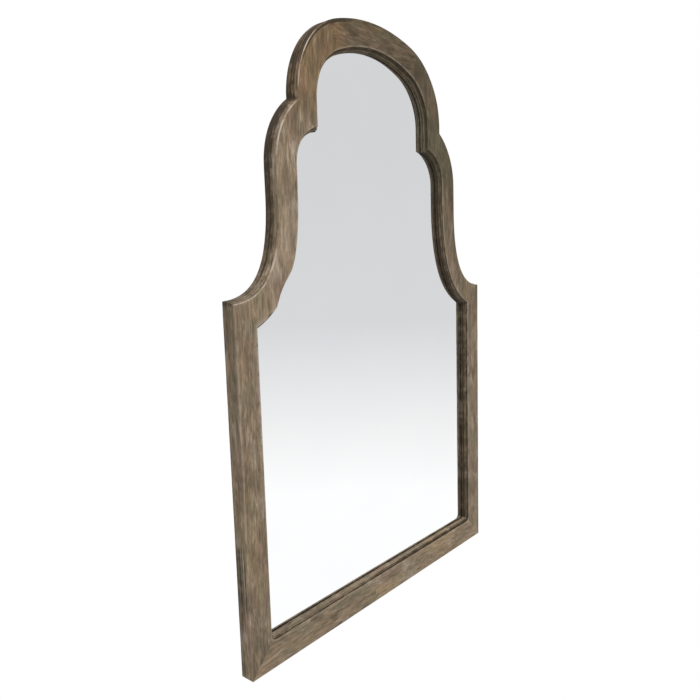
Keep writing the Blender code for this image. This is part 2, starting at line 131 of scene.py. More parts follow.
frame_half = frame_width / 2
neck_half = frame_half - shoulder_run
arch_half = neck_half - notch_run
scoop_top = shoulder_level + scoop_rise
lobe_level = scoop_top + neck_length
spring_level = lobe_level + spring_rise
front_y = -frame_depth / 2
back_y = frame_depth / 2
wall_inset = lip_reach - glass_rebate
edge_inset = wall_inset - board_ledge
inner_half = frame_half - stile_face
inner_shoulder = shoulder_level - shoulder_face
inner_neck = neck_half - neck_face
inner_arch_half = arch_half - arch_face


def arch_rise(half, haunch, crown):
    """Rise of a three-centred arch: crown less the height of its centre's triangle over the haunch."""
    return crown - math.sqrt((crown - haunch) ** 2 - (half - haunch) ** 2)


frame_height = spring_level + arch_rise(arch_half, haunch_radius, crown_radius)
inner_spring = frame_height - crown_face - arch_rise(
    inner_arch_half, inner_haunch_radius, inner_crown_radius
)


def arc(centre, radius, start, end, steps):
    """Centre plus radius times (cosine, sine) of an angle that runs evenly from start to end."""
    angles = np.linspace(start, end, steps + 1)
    return np.column_stack((centre[0] + radius * np.cos(angles), centre[1] + radius * np.sin(angles)))


def bezier(corners, steps):
    """Cubic curve: the four corners weighted by the Bernstein polynomials of an even parameter."""
    t = np.linspace(0, 1, steps + 1)[:, None]
    weights = ((1 - t) ** 3, 3 * t * (1 - t) ** 2, 3 * t**2 * (1 - t), t**3)
    return sum(weight * np.array(corner) for weight, corner in zip(weights, corners))


def cradle(half, tip, bottom, radius):
    """From left of the middle along the bottom, round the corner and up the side to the shoulder."""
    corner = arc((half - radius, bottom + radius), radius, -math.pi / 2, 0, line_steps)
    return np.vstack(((-arch_half, bottom), corner, (half, tip)))


def flank(tip, neck, top, radius, angle, fall_share, run_share):
    """From the shoulder tip along the scoop, straight up the neck and round the lobe."""
    reach = run_share * (tip[0] - neck)
    tip_handle = (tip[0] - reach * math.cos(angle), tip[1] + reach * math.sin(angle))
    top_handle = (neck, top - fall_share * (top - tip[1]))
    scoop = bezier((tip, tip_handle, top_handle, (neck, top)), line_steps)
    lobe = arc((neck - radius, lobe_level), radius, 0, math.pi / 2, line_steps)
    return np.vstack((scoop, lobe))


def arch(half, spring, haunch, crown):
    """Upright from inside the lobe, then over the haunch and the crown to just past the middle."""
    turn = math.asin((half - haunch) / (crown - haunch))
    peak = spring + arch_rise(half, haunch, crown)
    side = arc((half - haunch, spring), haunch, 0, math.pi / 2 - turn, line_steps)
    top = arc((0, peak - crown), crown, math.pi / 2 - turn, math.pi / 2 + turn, 2 * line_steps)
    return np.vstack(((half, lobe_level), side, top[1:]))


def inward(line):
    """Unit normals left of the way the line goes, so into the opening: its mean direction turned."""
    steps = np.diff(line, axis=0)
    steps = steps / np.linalg.norm(steps, axis=1)[:, None]
    along = np.vstack((steps[:1], steps)) + np.vstack((steps, steps[-1:]))
    along = along / np.linalg.norm(along, axis=1)[:, None]
    return np.column_stack((-along[:, 1], along[:, 0]))


def lengths_along(line):
    """Running sum of the distances between the points of a line."""
    return np.concatenate(([0], np.cumsum(np.linalg.norm(np.diff(line, axis=0), axis=1))))


outer_outline = (
    cradle(frame_half, shoulder_level, 0, corner_radius),
    flank(
        (frame_half, shoulder_level), neck_half, scoop_top, lobe_radius,
        tip_angle, scoop_fall_share, scoop_run_share,
    ),
    arch(arch_half, spring_level, haunch_radius, crown_radius),
)
opening = (
    cradle(inner_half, inner_shoulder, rail_face, inner_corner_radius),
    flank(
        (inner_half, inner_shoulder), inner_neck, scoop_top + inner_scoop_lift, inner_lobe_radius,
        inner_tip_angle, inner_scoop_fall_share, inner_scoop_run_share,
    ),
    arch(inner_arch_half, inner_spring, inner_haunch_radius, inner_crown_radius),
)

# The left side of the opening was carved a little deeper below the scoop, up to a blunt knuckle
flank_along = lengths_along(opening[1])
knuckle = knuckle_cut * np.interp(
    flank_along / flank_along[line_steps], knuckle_along_shares, knuckle_cut_shares
)
carved_opening = (opening[0], opening[1] - knuckle[:, None] * inward(opening[1]), opening[2])

# The sides widen toward the back: not at all on the upright part, evenly along the scoop and the lobe,
# and less and less round the haunch
haunch_centre = np.array((arch_half - haunch_radius, spring_level))
haunch_way = outer_outline[2] - haunch_centre
haunch_turn = np.arctan2(np.maximum(haunch_way[:, 1], 0), np.maximum(haunch_way[:, 0], 0))
side_flares = (0, bend_flare, arch_flare * np.clip(1 - haunch_turn / flare_end, 0, 1)[:, None])

crown_joint_way = np.array((math.cos(crown_joint_angle), math.sin(crown_joint_angle)))
crown_joint_outer = haunch_centre + haunch_radius * crown_joint_way
shoulder_joint = inner_shoulder - shoulder_joint_drop
neck_joint = lobe_level - neck_joint_drop
joint_lines = {
    "mitre": ((frame_half, 0), (inner_half, rail_face)),
    "shoulder": ((frame_half, shoulder_joint), (inner_half, shoulder_joint)),
    "neck": ((neck_half, neck_joint), (inner_neck, neck_joint)),
    "crown": (crown_joint_outer, crown_joint_outer - crown_face * crown_joint_way),
}


def lengthened(line):
    """The line with both ends carried straight on, so that its neighbours cross it."""
    first = line[0] - line[1]
    last = line[-1] - line[-2]
    start = line[0] + stile_face * first / np.linalg.norm(first)
    end = line[-1] + stile_face * last / np.linalg.norm(last)
    return np.vstack((start, line, end))


def crossing(line, other):
    """Where two lines of points cross, as point number plus share of the next step along each line."""
    step = np.diff(line, axis=0)[:, None]
    other_step = np.diff(other, axis=0)[None]
    gap = other[None, :-1] - line[:-1, None]
    area = step[..., 0] * other_step[..., 1] - step[..., 1] * other_step[..., 0]
    area = np.where(area == 0, np.inf, area)
    place = (gap[..., 0] * other_step[..., 1] - gap[..., 1] * other_step[..., 0]) / area
    other_place = (gap[..., 0] * step[..., 1] - gap[..., 1] * step[..., 0]) / area
    meets = (place >= 0) & (place <= 1) & (other_place >= 0) & (other_place <= 1) & np.isfinite(area)
    i, j = np.argwhere(meets)[0]
    return i + place[i, j], j + other_place[i, j]


def joint_place(line, joint, side, shift):
    """Where a joint cuts the line, moved by the shift square to the joint."""
    if joint == "splice":
        cut = np.array(((side * splice_offset, 0), (side * splice_offset, rail_face)))
    else:
        cut = np.array(joint_lines[joint])
    way = (cut[1] - cut[0]) / np.linalg.norm(cut[1] - cut[0])
    return crossing(line, lengthened(cut) + shift * np.array((way[1], -way[0])))[0]


def moved_along(line, place, distance):
    """The place on the line that lies a distance further along it."""
    numbers = np.arange(len(line))
    along = lengths_along(line)
    return np.interp(np.interp(place, numbers, along) + distance, along, numbers)


def stations(line, start, end, steps):
    """Points at equal steps of length between two places of a line."""
    numbers = np.arange(len(line))
    along = lengths_along(line)
    wanted = np.linspace(np.interp(start, numbers, along), np.interp(end, numbers, along), steps + 1)
    return np.column_stack([np.interp(wanted, along, line[:, axis]) for axis in (0, 1)])


def chained(*parts):
    """Stretches end to end, with the shared points kept once."""
    return np.vstack([parts[0]] + [part[1:] for part in parts[1:]])


middle_line = np.array(((0, -frame_height), (0, 2 * frame_height)))
corner_start = 2
corner_end = corner_start + line_steps


def offset_runs(outline, insets, spread=0):
    """The three runs of an outline, each moved inward by its inset less a share of its flare."""
    return [
        lengthened(run + (inset - spread * flare) * inward(run))
        for run, inset, flare in zip(outline, insets, side_flares)
    ]


def piece_lines(outline, insets, spread, side):
    """One line along each frame piece of a half: the outline moved by the insets and cut at the joints.

    The tip of the shoulder is a cubic curve from just before the corner to just after it, by way of it.
    """
    low, bend, top = offset_runs(outline, insets, spread)
    before, after = -hairline / 2, hairline / 2
    wear = tip_wear if outline is outer_outline else inner_tip_wear
    low_tip, bend_tip = crossing(low, bend)
    low_worn, bend_worn = moved_along(low, low_tip, -wear), moved_along(bend, bend_tip, wear)
    corner = stations(low, low_worn, low_tip, 1), stations(bend, bend_tip, bend_worn, 1)
    bend_notch, top_notch = crossing(bend, top)
    middle = crossing(top, middle_line)[0]
    half_crown = stations(top, joint_place(top, "crown", side, after), middle, crown_steps)
    return {
        "rail": chained(
            stations(low, joint_place(low, "splice", side, after), corner_start, rail_steps),
            stations(low, corner_start, joint_place(low, "mitre", side, before), corner_steps),
        ),
        "stile": chained(
            stations(low, joint_place(low, "mitre", side, after), corner_end, corner_steps),
            stations(low, corner_end, joint_place(low, "shoulder", side, before), stile_steps),
        ),
        "shoulder": chained(
            stations(low, joint_place(low, "shoulder", side, after), low_worn, tip_steps),
            bezier((corner[0][0], corner[0][1], corner[1][0], corner[1][1]), worn_steps),
            stations(bend, bend_worn, joint_place(bend, "neck", side, before), scoop_steps),
        ),
        "lobe": chained(
            stations(bend, joint_place(bend, "neck", side, after), bend_notch, lobe_steps),
            stations(top, top_notch, joint_place(top, "crown", side, before), haunch_steps),
        ),
        "crown": chained(half_crown, half_crown[::-1] * np.array((-1, 1))),
    }


# Lip round the opening: a step, a small bead, a long hollow and a drop to the glass, each stretch as
# points of (inset, depth)
back_rows = 7
side_rows = 12
quirk_rows = 10
nose_rows = 12
face_rows = 16
arris_rows = 5
heel_rows = 4
step_reach = 0.0008
step_depth = 0.0045
bead_reach = 0.0025
bead_depth = 0.0052
ovolo_reach = 0.0054
ovolo_depth = 0.0115
sight_reach = 0.0062
sight_depth = 0.0122
drop_depth = 0.0130
step_rows = 6
bead_rows = 4
ovolo_rows = 11
drop_rows = 4

arris = arc((-arris_radius, arris_radius), arris_radius, -math.pi / 2, 0, arris_rows)
heel = arc((back_round, frame_depth - back_round), back_round, math.pi / 2, math.pi, heel_rows)
step_foot = (0, step_depth)
bead_top = (bead_reach, step_depth)
ovolo_handles = ((bead_reach + ovolo_reach) / 2, bead_depth), (ovolo_reach, (bead_depth + ovolo_depth) / 2)
lip_corners = (sight_reach, sight_depth), (lip_reach, sight_depth)
step = bezier(((0, arris_radius), step_foot, step_foot, (step_reach, step_depth)), step_rows)[1:]
bead = bezier(((step_reach, step_depth), bead_top, bead_top, (bead_reach, bead_depth)), bead_rows)[1:]
ovolo = bezier(((bead_reach, bead_depth), *ovolo_handles, (ovolo_reach, ovolo_depth)), ovolo_rows)[1:]
sight = bezier(((ovolo_reach, ovolo_depth), *lip_corners, (lip_reach, drop_depth)), bead_rows)[1:]
drop_depths = np.linspace(drop_depth, rebate_depth, drop_rows + 1)[1:]
drop = np.column_stack((np.full(drop_rows, lip_reach), drop_depths))


def nose_inset(depth, reach, end):
    """How far the rounded front edge lies in at a depth: a quarter of an ellipse, reach by end."""
    return reach * (1 - math.sqrt(1 - (1 - min(depth / end, 1)) ** 2))


# Rows of the section: (line, insets, share of the flare, depth, rubbing, grime, bare wood). Line 0 is
# the outer outline and line 1 the opening, and a row between them lies on the flat face or the flat
# back. Rubbing and grime have three values: for the upright part, the bends and the arch on line 0, and
# for the rail, the sides and the arch on line 1. The rubbing is partly wear and partly a painted
# highlight on the rounded edges, and the grime is mostly painted shade on the side, in the groove and
# down the lip.
clean = (0, 0, 0)
caked = (1, 1, 1)
heel_shade = (1.60, 1.15, 0.75)
heel_bare = 0.04
side_front_shade = (0.10, 0.20, 0.42)
side_more_shade = (0.62, 0.62, 0.30)
side_power = 0.8
side_dark_share = 0.32
quirk_shade = (0.45, 1, 1)
nose_rubbing_and_highlight = (0.30, 1, 1)
nose_shade = (0, 0.1, 0.1)
nose_rub_and_highlight_shares = (0.12, 0.80)
ovolo_top_shade = (0.50, 0.62, 1.0)
ovolo_more_shade = (-0.25, 0.50, -0.62)
ovolo_dark_share = 0.75
ovolo_rub_and_highlight = 0.5
dark_power = 1.5
quirk_darkness = 1.5
face_edge = (0, nose_reaches, 0)
back_edge = (0, (back_round,) * 3, 1)
arris_edge = (1, (-arris_radius,) * 3, 0)
ledge_edge = (1, (edge_inset,) * 3, 0)
edge_shares = (0.014, 0.030, 0.048, 0.068, 0.090, 0.118, 0.150)
side_start = quirk_level + quirk_width / 2
side_end = frame_depth - back_round


def lip_rows(points, rubbing_and_highlight, grime_and_shade, bare=0):
    """Rows on the opening from (inset, depth) points, with the same insets all round."""
    return [(1, (inset,) * 3, 0, depth, rubbing_and_highlight, grime_and_shade, bare) for inset, depth in points]


def grown(first, more, shares):
    """Three values, each its first plus a share of what is added."""
    return tuple(np.array(first) + np.array(more) * np.array(shares))


# Back edge of the side: painted shade
rows = [(0, (inset,) * 3, 1, depth, clean, heel_shade, heel_bare) for inset, depth in heel]
# Side: painted shade that deepens toward the back
for share in np.linspace(1, 0, side_rows + 1)[1:-1]:
    depth = side_start + share * (side_end - side_start)
    dark = min(share / side_dark_share, 1) ** dark_power
    grime_and_shade = grown(side_front_shade, side_more_shade, (share**side_power, dark, dark))
    rows.append((0, (0,) * 3, share**flare_power, depth, clean, grime_and_shade, 0))
# Groove behind the nose: painted shade in its hollow
for share in np.linspace(-1, 1, quirk_rows + 1):
    round_in = math.cos(share * math.pi / 2) ** 2
    insets = tuple(depth * round_in for depth in quirk_depths)
    grime_and_shade = tuple(part * min(quirk_darkness * round_in, 1) for part in quirk_shade)
    rows.append((0, insets, 0, quirk_level - share * quirk_width / 2, clean, grime_and_shade, 0))
# Rounded front edge: a painted highlight along its middle, and a little painted shade toward the side
for share in np.linspace(1, 0, nose_rows + 1)[1:]:
    depth = nose_depths[1] * (1 - math.cos(share * math.pi / 2))
    insets = tuple(nose_inset(depth, reach, end) for reach, end in zip(nose_reaches, nose_depths))
    rubbed_and_lit = math.sin(math.pi * (nose_rub_and_highlight_shares[0] + nose_rub_and_highlight_shares[1] * share))
    rubbing_and_highlight = tuple(part * rubbed_and_lit for part in nose_rubbing_and_highlight)
    rows.append((0, insets, 0, depth, rubbing_and_highlight, tuple(part * share for part in nose_shade), 0))
nose_number = len(rows) - 1
face_shares = (*edge_shares, *np.linspace(0, 1, face_rows + 1)[3:-1])
rows += [(share, None, 0, 0, clean, clean, 0) for share in face_shares]
arris_number = len(rows)
# Lip: painted highlight on the arris, the bead and the foot of the hollow, and painted shade down the step,
# the hollow, the sight edge and the drop to the glass
rows += lip_rows(arris, (0.25, 0.38, 0.34), (0.1, 0.1, 0.1))
rows += lip_rows(step, clean, (0.66, 0.80, 1.05))
rows += lip_rows(bead, (0.25, 0.05, 0), (0.44, 0.84, 1.0))
for share, point in zip(np.linspace(0, 1, ovolo_rows), ovolo):
    dark = min(share / ovolo_dark_share, 1) ** dark_power
    grime_and_shade = grown(ovolo_top_shade, ovolo_more_shade, (share, dark, share))
    rows += lip_rows([point], (ovolo_rub_and_highlight * share**4, 0, 0), grime_and_shade)
rows += lip_rows(sight, clean, (0.50, 1.15, 0.42))
rows += lip_rows(drop, clean, (0.85, 1.2, 0.75))
rows += lip_rows([(0, rebate_depth), (wall_inset, rebate_depth)], clean, caked, 0.2)
rows += lip_rows([(wall_inset, ledge_depth)], clean, caked, 1)
ledge_insets = np.linspace(wall_inset, edge_inset, 4)[1:]
edge_depths = np.linspace(ledge_depth, frame_depth, 4)[1:]
rows += lip_rows([(inset, ledge_depth) for inset in ledge_insets], clean, (0.3,) * 3, 1)
rows += lip_rows([(edge_inset, depth) for depth in edge_depths], clean, (0.2,) * 3, 1)
back_shares = np.linspace(1, 0, back_rows + 1)[1:-1]
rows += [(share, None, 0, frame_depth, clean, clean, 1) for share in back_shares]

half_lines = {}
for side_name, side in (("left", -1), ("right", 1)):
    inner = carved_opening if side_name == "left" else opening
    cuts = {}
    wanted = [row[:3] for row in rows if row[1]] + [face_edge, arris_edge, back_edge, ledge_edge]
    for which, insets, spread in wanted:
        if (which, insets, spread) not in cuts:
            outline = (outer_outline, inner)[which]
            cuts[which, insets, spread] = piece_lines(outline, insets, spread, side)
    half_lines[side_name] = []
    for which, insets, spread, depth, *_ in rows:
        if insets:
            half_lines[side_name].append(cuts[which, insets, spread])
        else:
            low = cuts[face_edge if depth == 0 else back_edge]
            high = cuts[arris_edge if depth == 0 else ledge_edge]
            half_lines[side_name].append({kind: (1 - which) * low[kind] + which * high[kind] for kind in low})


def wander(points, size, seed):
    """Smooth unevenness from -1 to 1: the mean of eight sine waves of place, with lengths near the size."""
    draw = np.random.default_rng(seed)
    ways = draw.normal(size=(8, 3))
    ways *= (2 * math.pi / size) * draw.uniform(0.5, 1.5, (8, 1)) / np.linalg.norm(ways, axis=1)[:, None]
    phases = draw.uniform(0, 2 * math.pi, 8)
    return np.clip(np.sin(points @ ways.T + phases).mean(axis=-1) * 2.2, -1, 1)


def outward(grid):
    """Unit normals of a grid that is closed round its rows: the cross product of its two differences."""
    across = np.roll(grid, -1, axis=0) - np.roll(grid, 1, axis=0)
    along = np.gradient(grid, axis=1)
    normals = np.cross(along, across)
    return normals / np.maximum(np.linalg.norm(normals, axis=-1, keepdims=True), 1e-9)


soft_crease = math.radians(38)


def surfaced(name, points, faces, finishes, values=None, finish_of_faces=None, crease=soft_crease):
    """A mesh object from points and faces, turned so that its faces point outward, with point values."""
    mesh = bpy.data.meshes.new(name)
    mesh.from_pydata(points.reshape(-1, 3).tolist(), [], faces)
    for label, numbers in (values or {}).items():
        held = mesh.attributes.new(label, "FLOAT", "POINT")
        held.data.foreach_set("value", np.ascontiguousarray(numbers, np.float32).ravel())
    if finish_of_faces is not None:
        mesh.polygons.foreach_set("material_index", np.asarray(finish_of_faces, np.int32))
    corners = np.empty(3 * len(mesh.vertices))
    mesh.vertices.foreach_get("co", corners)
    mesh.calc_loop_triangles()
    triangles = np.empty(3 * len(mesh.loop_triangles), np.int32)
    mesh.loop_triangles.foreach_get("vertices", triangles)
    if np.linalg.det(corners.reshape(-1, 3)[triangles.reshape(-1, 3)]).sum() < 0:
        mesh.flip_normals()
    mesh.shade_smooth()
    mesh.set_sharp_from_angle(angle=crease)
    for finish in finishes:
        mesh.materials.append(finish)
    mesh.update()
    piece = bpy.data.objects.new(name, mesh)
    bpy.context.scene.collection.objects.link(piece)
    return piece


def fixed(piece, body, node):
    """The piece rides on its body and stands for its solid, which it hides."""
    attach(piece, body)
    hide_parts(node)
    return piece


def quads(rows_held, along, rows_close=True, ends_close=False):
    """Quads between neighbours on a grid of rows by stations, either way round a closed ring if asked."""
    row_starts = np.arange(rows_held if rows_close else rows_held - 1)
    station_starts = np.arange(along if ends_close else along - 1)
    row, station = np.meshgrid(row_starts, station_starts, indexing="ij")
    next_row = (row + 1) % rows_held
    next_station = (station + 1) % along
    corners = (row * along + station, row * along + next_station)
    corners += (next_row * along + next_station, next_row * along + station)
    return np.stack(corners, axis=-1).reshape(-1, 4).tolist()


def tube_faces(around, along, closed=False):
    """Quads of a grid whose rows close on themselves, and either its two end faces or a closed ring."""
    row_starts = np.arange(around) * along
    ends = [] if closed else [row_starts.tolist(), (row_starts[::-1] + along - 1).tolist()]
    return quads(around, along, True, closed) + ends


# How far hands and tools have worn the edges, and how uneven the worked faces are
edge_wear = 0.00016
edge_wear_least = 0.35
edge_wear_size = 0.05
edge_wear_seed = 3
plane_wave = 0.00010
plane_wave_size = 0.09
plane_wave_seed = 4

# By height: where the outer edge is rubbed pale with a painted highlight, less on the right, where its
# groove and the flank behind it take painted shade, and where the edge of the opening takes a painted
# highlight on the right
rub_and_highlight_heights = (0.61, 0.634, 0.700, 0.720, 0.866, 0.884, 0.948, 0.964)
rub_and_highlight_heights += (0.984, 0.992, 1.012, 1.022, 1.038, 1.048, 1.072, 1.088)
rub_and_highlight_shares = (0.50, 1.0, 0.9, 0.04, 0.04, 1.0, 1.0, 0.08, 0.08, 0.80, 0.80, 0.45, 0.45, 1.0, 1.0, 0.0)
rub_and_highlight_on_right_share = 0.30
groove_heights = (0.11, 0.14, 0.20, 0.23, 0.61, 0.636, 0.700, 0.730, 0.965, 0.985, 1.200)
groove_shares = (0.4, 2.6, 2.6, 0.7, 0.6, 1.0, 1.0, 0.30, 0.30, 1.0, 1.0)
side_heights = (0.61, 0.66, 0.72, 0.84, 1.040, 1.075)
side_shares = (0.6, 0.8, 1.25, 1.50, 1.50, 0.9)
inner_rub_and_highlight_heights = (0.860, 0.885, 1.010, 1.040)
inner_rub_and_highlight_shares = (1.0, 0.15, 0.15, 1.0)

# Darker low on the side, with a paler line at its front edge, and darker on the right of the rail's lip
foot_heights = (0.04, 0.12, 0.15, 0.210, 0.245)
foot_shares = (0.15, 0.35, 1.0, 1.0, 0.0)
foot_darkening = 0.60
foot_edge = 0.0020
rail_lip_darkening = 0.55
rail_lip_dark_places = (-0.10, 0.05)
rail_lip_dark_depth = 0.0090
rail_lip_dark_fade = 0.0035

# Painted shade along the outer edge of the left haunch and crown, standing for a shaded cove that the
# moulding lacks there: by place across, how dark it is, where it starts and ends in from the edge, and
# how deep it runs down the side
edge_shade_places = (-0.218, -0.208, -0.198, -0.175, -0.155, -0.142, -0.130, -0.105, -0.078, -0.058)
edge_shade_amounts = (0.3, 0.95, 1.15, 1.2, 1.2, 1.2, 1.2, 1.2, 1.0, 0.0)
edge_shade_starts = (0.0010, 0.0006, 0.0003, 0.0002, 0.0002, 0.0002, -0.0020, -0.0020, -0.0020, -0.0020)
edge_shade_ends = (0.0024, 0.0032, 0.0040, 0.0046, 0.0050, 0.0054, 0.0066, 0.0074, 0.0060, 0.0018)
edge_shade_depths = (0.005, 0.008, 0.0105, 0.015, 0.019, 0.022, 0.022, 0.022, 0.022, 0.022)
edge_shade_fade = 0.0009

# On the left: a dark spot at the inner tip, worn lines along both edges of the stile's face, by height
# and by distance from the edge, and a chalkier face up to the lobe
inner_tip_heights = (0.570, 0.586, 0.612, 0.628)
inner_tip_darkening = (0.0, 0.75, 0.75, 0.0)
worn_heights = (0.10, 0.20, 0.59, 0.66)
worn_off = (0.0, 0.0012, 0.0030, 0.0048)
worn_shares = (0.04, 0.28, 0.28, 0.0)
lip_heights = (0.30, 0.40, 0.59, 0.64)
lip_off = (0.0, 0.0060, 0.0110)
lip_shares = (0.42, 0.26, 0.0)
chalk_heights = (0.63, 0.70, 0.78, 0.83)
chalk_shares = (0.0, 0.16, 0.16, 0.0)

# Painted shade in the notch, and a dark spot at the shoulder's tip, each as (place, reach, amount)
notch_station = crossing(*outer_outline[:0:-1])[0]
notch_place = stations(outer_outline[2], notch_station, len(outer_outline[2]) - 1, 1)[0]
notch_shade_and_tip_spot_places = ((notch_place, 0.0065, 0.8), ((frame_half, shoulder_level), 0.0050, 0.55))
most_grime_and_shade = 1.2

row_depths = np.array([row[3] for row in rows])[:, None]
row_rubbing_and_highlight = np.array([row[4] for row in rows])[..., None]
row_grime_and_shade = np.array([row[5] for row in rows])[..., None]
row_bare = np.array([row[6] for row in rows])[:, None]
on_outline = np.array([row[0] == 0 for row in rows])[:, None]
on_opening = np.array([row[0] == 1 for row in rows])[:, None]
on_face = row_depths == 0
on_side = on_outline & (row_depths > nose_depths[0])
on_flank = on_outline & (row_depths > side_start)
in_groove = on_outline & (np.abs(row_depths - quirk_level) < quirk_width / 2)


def haunch_edge_shade(across, from_edge):
    """The painted shade: on the face between its start and its end, and from there down the side to its
    depth.
    """
    start, end, deep, amount = (
        np.interp(across, edge_shade_places, held)
        for held in (edge_shade_starts, edge_shade_ends, edge_shade_depths, edge_shade_amounts)
    )
    near = np.clip((from_edge - start) / edge_shade_fade, 0, 1) * np.clip((end - from_edge) / edge_shade_fade, 0, 1)
    over_nose = np.where(start < 0, 1, row_depths > nose_depths[2])
    down = over_nose * np.clip((deep - row_depths) / edge_shade_fade, 0, 1)
    return amount * np.where(row_depths > 0, down, near)


def wear_dirt_and_painted_light(kind, grid, lines):
    """Rubbing with its painted highlight, and grime with its painted shade, at each point: the rows' own,
    mixed along the piece, then changed by place.

    Where the piece turns from the upright part into a bend or the arch, the three values of a row are
    weighed by how far the station has come.
    """
    across, level = grid[..., 0], grid[..., 2]
    station = np.arange(lines.shape[1])
    bends = np.full(len(station), float(kind in ("lobe", "crown")))
    if kind == "shoulder":
        bends = np.clip((station - tip_steps) / worn_steps, 0, 1)
    arched = np.where(kind == "crown", 1.0, (kind == "lobe") * (station > lobe_steps))
    weight = np.where(on_opening, float(kind != "rail"), bends)
    shares = (1 - weight, weight * (1 - arched), weight * arched)
    rubbed_and_lit, grime_and_shade = (
        sum(share * held[:, place] for place, share in enumerate(shares)) for held in (row_rubbing_and_highlight, row_grime_and_shade)
    )
    # Painted highlight along the outer edge by height, weaker on the right
    handled_and_highlit = np.interp(level, rub_and_highlight_heights, rub_and_highlight_shares)
    handled_and_highlit = handled_and_highlit * np.where(across > -neck_half / 2, rub_and_highlight_on_right_share, 1.0)
    # Painted highlight on the edge of the opening on the right, by height
    inner = np.where(across > 0, np.interp(level, inner_rub_and_highlight_heights, inner_rub_and_highlight_shares), 1.0)
    rubbed_and_lit = rubbed_and_lit * np.where(on_outline, handled_and_highlit, np.where(on_opening, inner, 1.0))

    # Painted shade on the flank by height
    grime_and_shade = grime_and_shade * np.where(on_flank, np.interp(level, side_heights, side_shares), 1.0)
    # Painted shade in the notch, and a dark spot at the shoulder's tip
    for (out, up), reach, amount in notch_shade_and_tip_spot_places:
        off = np.hypot(np.abs(across) - out, level - up)
        grime_and_shade = grime_and_shade + amount * on_side * np.exp(-((off / reach) ** 2))
    # Painted shade in the groove by height
    grime_and_shade = grime_and_shade * np.where(in_groove, np.interp(level, groove_heights, groove_shares), 1.0)
    from_edge, from_opening = (
        np.hypot(*(lines - lines[number]).transpose(2, 0, 1)) for number in (nose_number, arris_number)
    )
    # Painted shade along the outer edge of the left haunch and crown
    above_spring = (level > spring_level) & ~on_opening
    grime_and_shade = np.maximum(grime_and_shade, haunch_edge_shade(across, from_edge) * above_spring)

    foot = np.interp(level, foot_heights, foot_shares) * on_side
    behind = (row_depths - side_start) / foot_edge
    grime_and_shade = grime_and_shade + foot_darkening * foot * np.clip(behind - 1, 0, 1)
    rubbed_and_lit = rubbed_and_lit + foot * (np.abs(behind - 0.5) < 0.5)
    worn = np.interp(from_edge, worn_off, worn_shares) * np.interp(level, worn_heights, (0, 1, 1, 0))
    worn += np.interp(from_opening, lip_off, lip_shares) * np.interp(level, lip_heights, (0, 1, 1, 0))
    worn += np.interp(level, chalk_heights, chalk_shares)
    rubbed_and_lit = rubbed_and_lit + worn * (on_face & (across < 0))
    if kind == "rail":
        rail_lip_darkened = np.clip((rail_lip_dark_depth - row_depths) / rail_lip_dark_fade, 0, 1)
        rail_lip_darkened = rail_lip_darkened * (row_depths > arris_radius) * on_opening
        grime_and_shade = grime_and_shade + rail_lip_darkening * np.interp(across, rail_lip_dark_places, (0, 1)) * rail_lip_darkened
    inner_tip = np.interp(level, inner_tip_heights, inner_tip_darkening) * (across < 0)
    grime_and_shade = np.maximum(grime_and_shade, inner_tip * (on_opening & (row_depths <= arris_radius)))
    return rubbed_and_lit, np.clip(grime_and_shade, 0, most_grime_and_shade)


def moulding(name, *look):
    """The section carried along the stations of a frame piece, then worn inward by a smooth unevenness."""
    kind, _, side_name = name.partition("_")
    side = -1 if side_name == "left" else 1
    lines = np.array([line[kind] for line in half_lines[side_name or "right"]])
    depths = np.broadcast_to(front_y + row_depths, lines.shape[:2])
    grid = np.stack((side * lines[..., 0], depths, lines[..., 1]), axis=-1)
    rubbed_and_lit, grime_and_shade = wear_dirt_and_painted_light(kind, grid, lines)
    bare = np.repeat(row_bare, lines.shape[1], axis=1)
    over = np.linalg.norm(np.diff(grid[:, grid.shape[1] // 2], axis=0), axis=1)
    across = np.repeat(np.concatenate(([0], np.cumsum(over)))[:, None], lines.shape[1], axis=1)
    normals = outward(grid)
    flip = np.sign((normals * (grid - grid.mean(axis=0))).sum())
    patchy = wander(grid, edge_wear_size, edge_wear_seed) ** 2
    wear = rubbed_and_lit * edge_wear * (edge_wear_least + (1 - edge_wear_least) * patchy)
    wear += (1 - bare) * plane_wave * (1 + wander(grid, plane_wave_size, plane_wave_seed))
    grid = grid - flip * normals * wear[..., None]
    values = {"rub_and_highlight": rubbed_and_lit, "grime_and_shade": grime_and_shade, "bare": bare, "across": across}
    finish = weathered(f"{name}_wood", *look)
    piece = surfaced(name, grid, tube_faces(*grid.shape[:2]), [finish], values)
    return fixed(piece, "frame", name)


def put(tree, kind, inputs=None, **settings):
    """A node of the kind, with each named socket given a value or fed from another node's socket."""
    made = tree.nodes.new(kind)
    for label, value in settings.items():
        setattr(made, label, value)
    for label, value in (inputs or {}).items():
        if isinstance(value, bpy.types.NodeSocket):
            tree.links.new(value, made.inputs[label])
        else:
            made.inputs[label].default_value = value
    return made


def stretched(tree, vector, scale, turn=(0, 0, 0), shift=(0, 0, 0)):
    """The coordinates turned, scaled along each axis and shifted."""
    settings = {"Vector": vector, "Scale": scale, "Rotation": turn, "Location": shift}
    return put(tree, "ShaderNodeMapping", settings).outputs["Vector"]


def cloud(tree, vector, scale, detail=2.0, roughness=0.5, distortion=0.0):
    """Soft noise from 0 to 1, with one scale for all axes or a scale for each."""
    if isinstance(scale, tuple):
        vector = stretched(tree, vector, scale)
        scale = 1.0
    settings = {
        "Vector": vector, "Scale": scale, "Detail": detail, "Roughness": roughness, "Distortion": distortion
    }
    return put(tree, "ShaderNodeTexNoise", settings).outputs["Fac"]


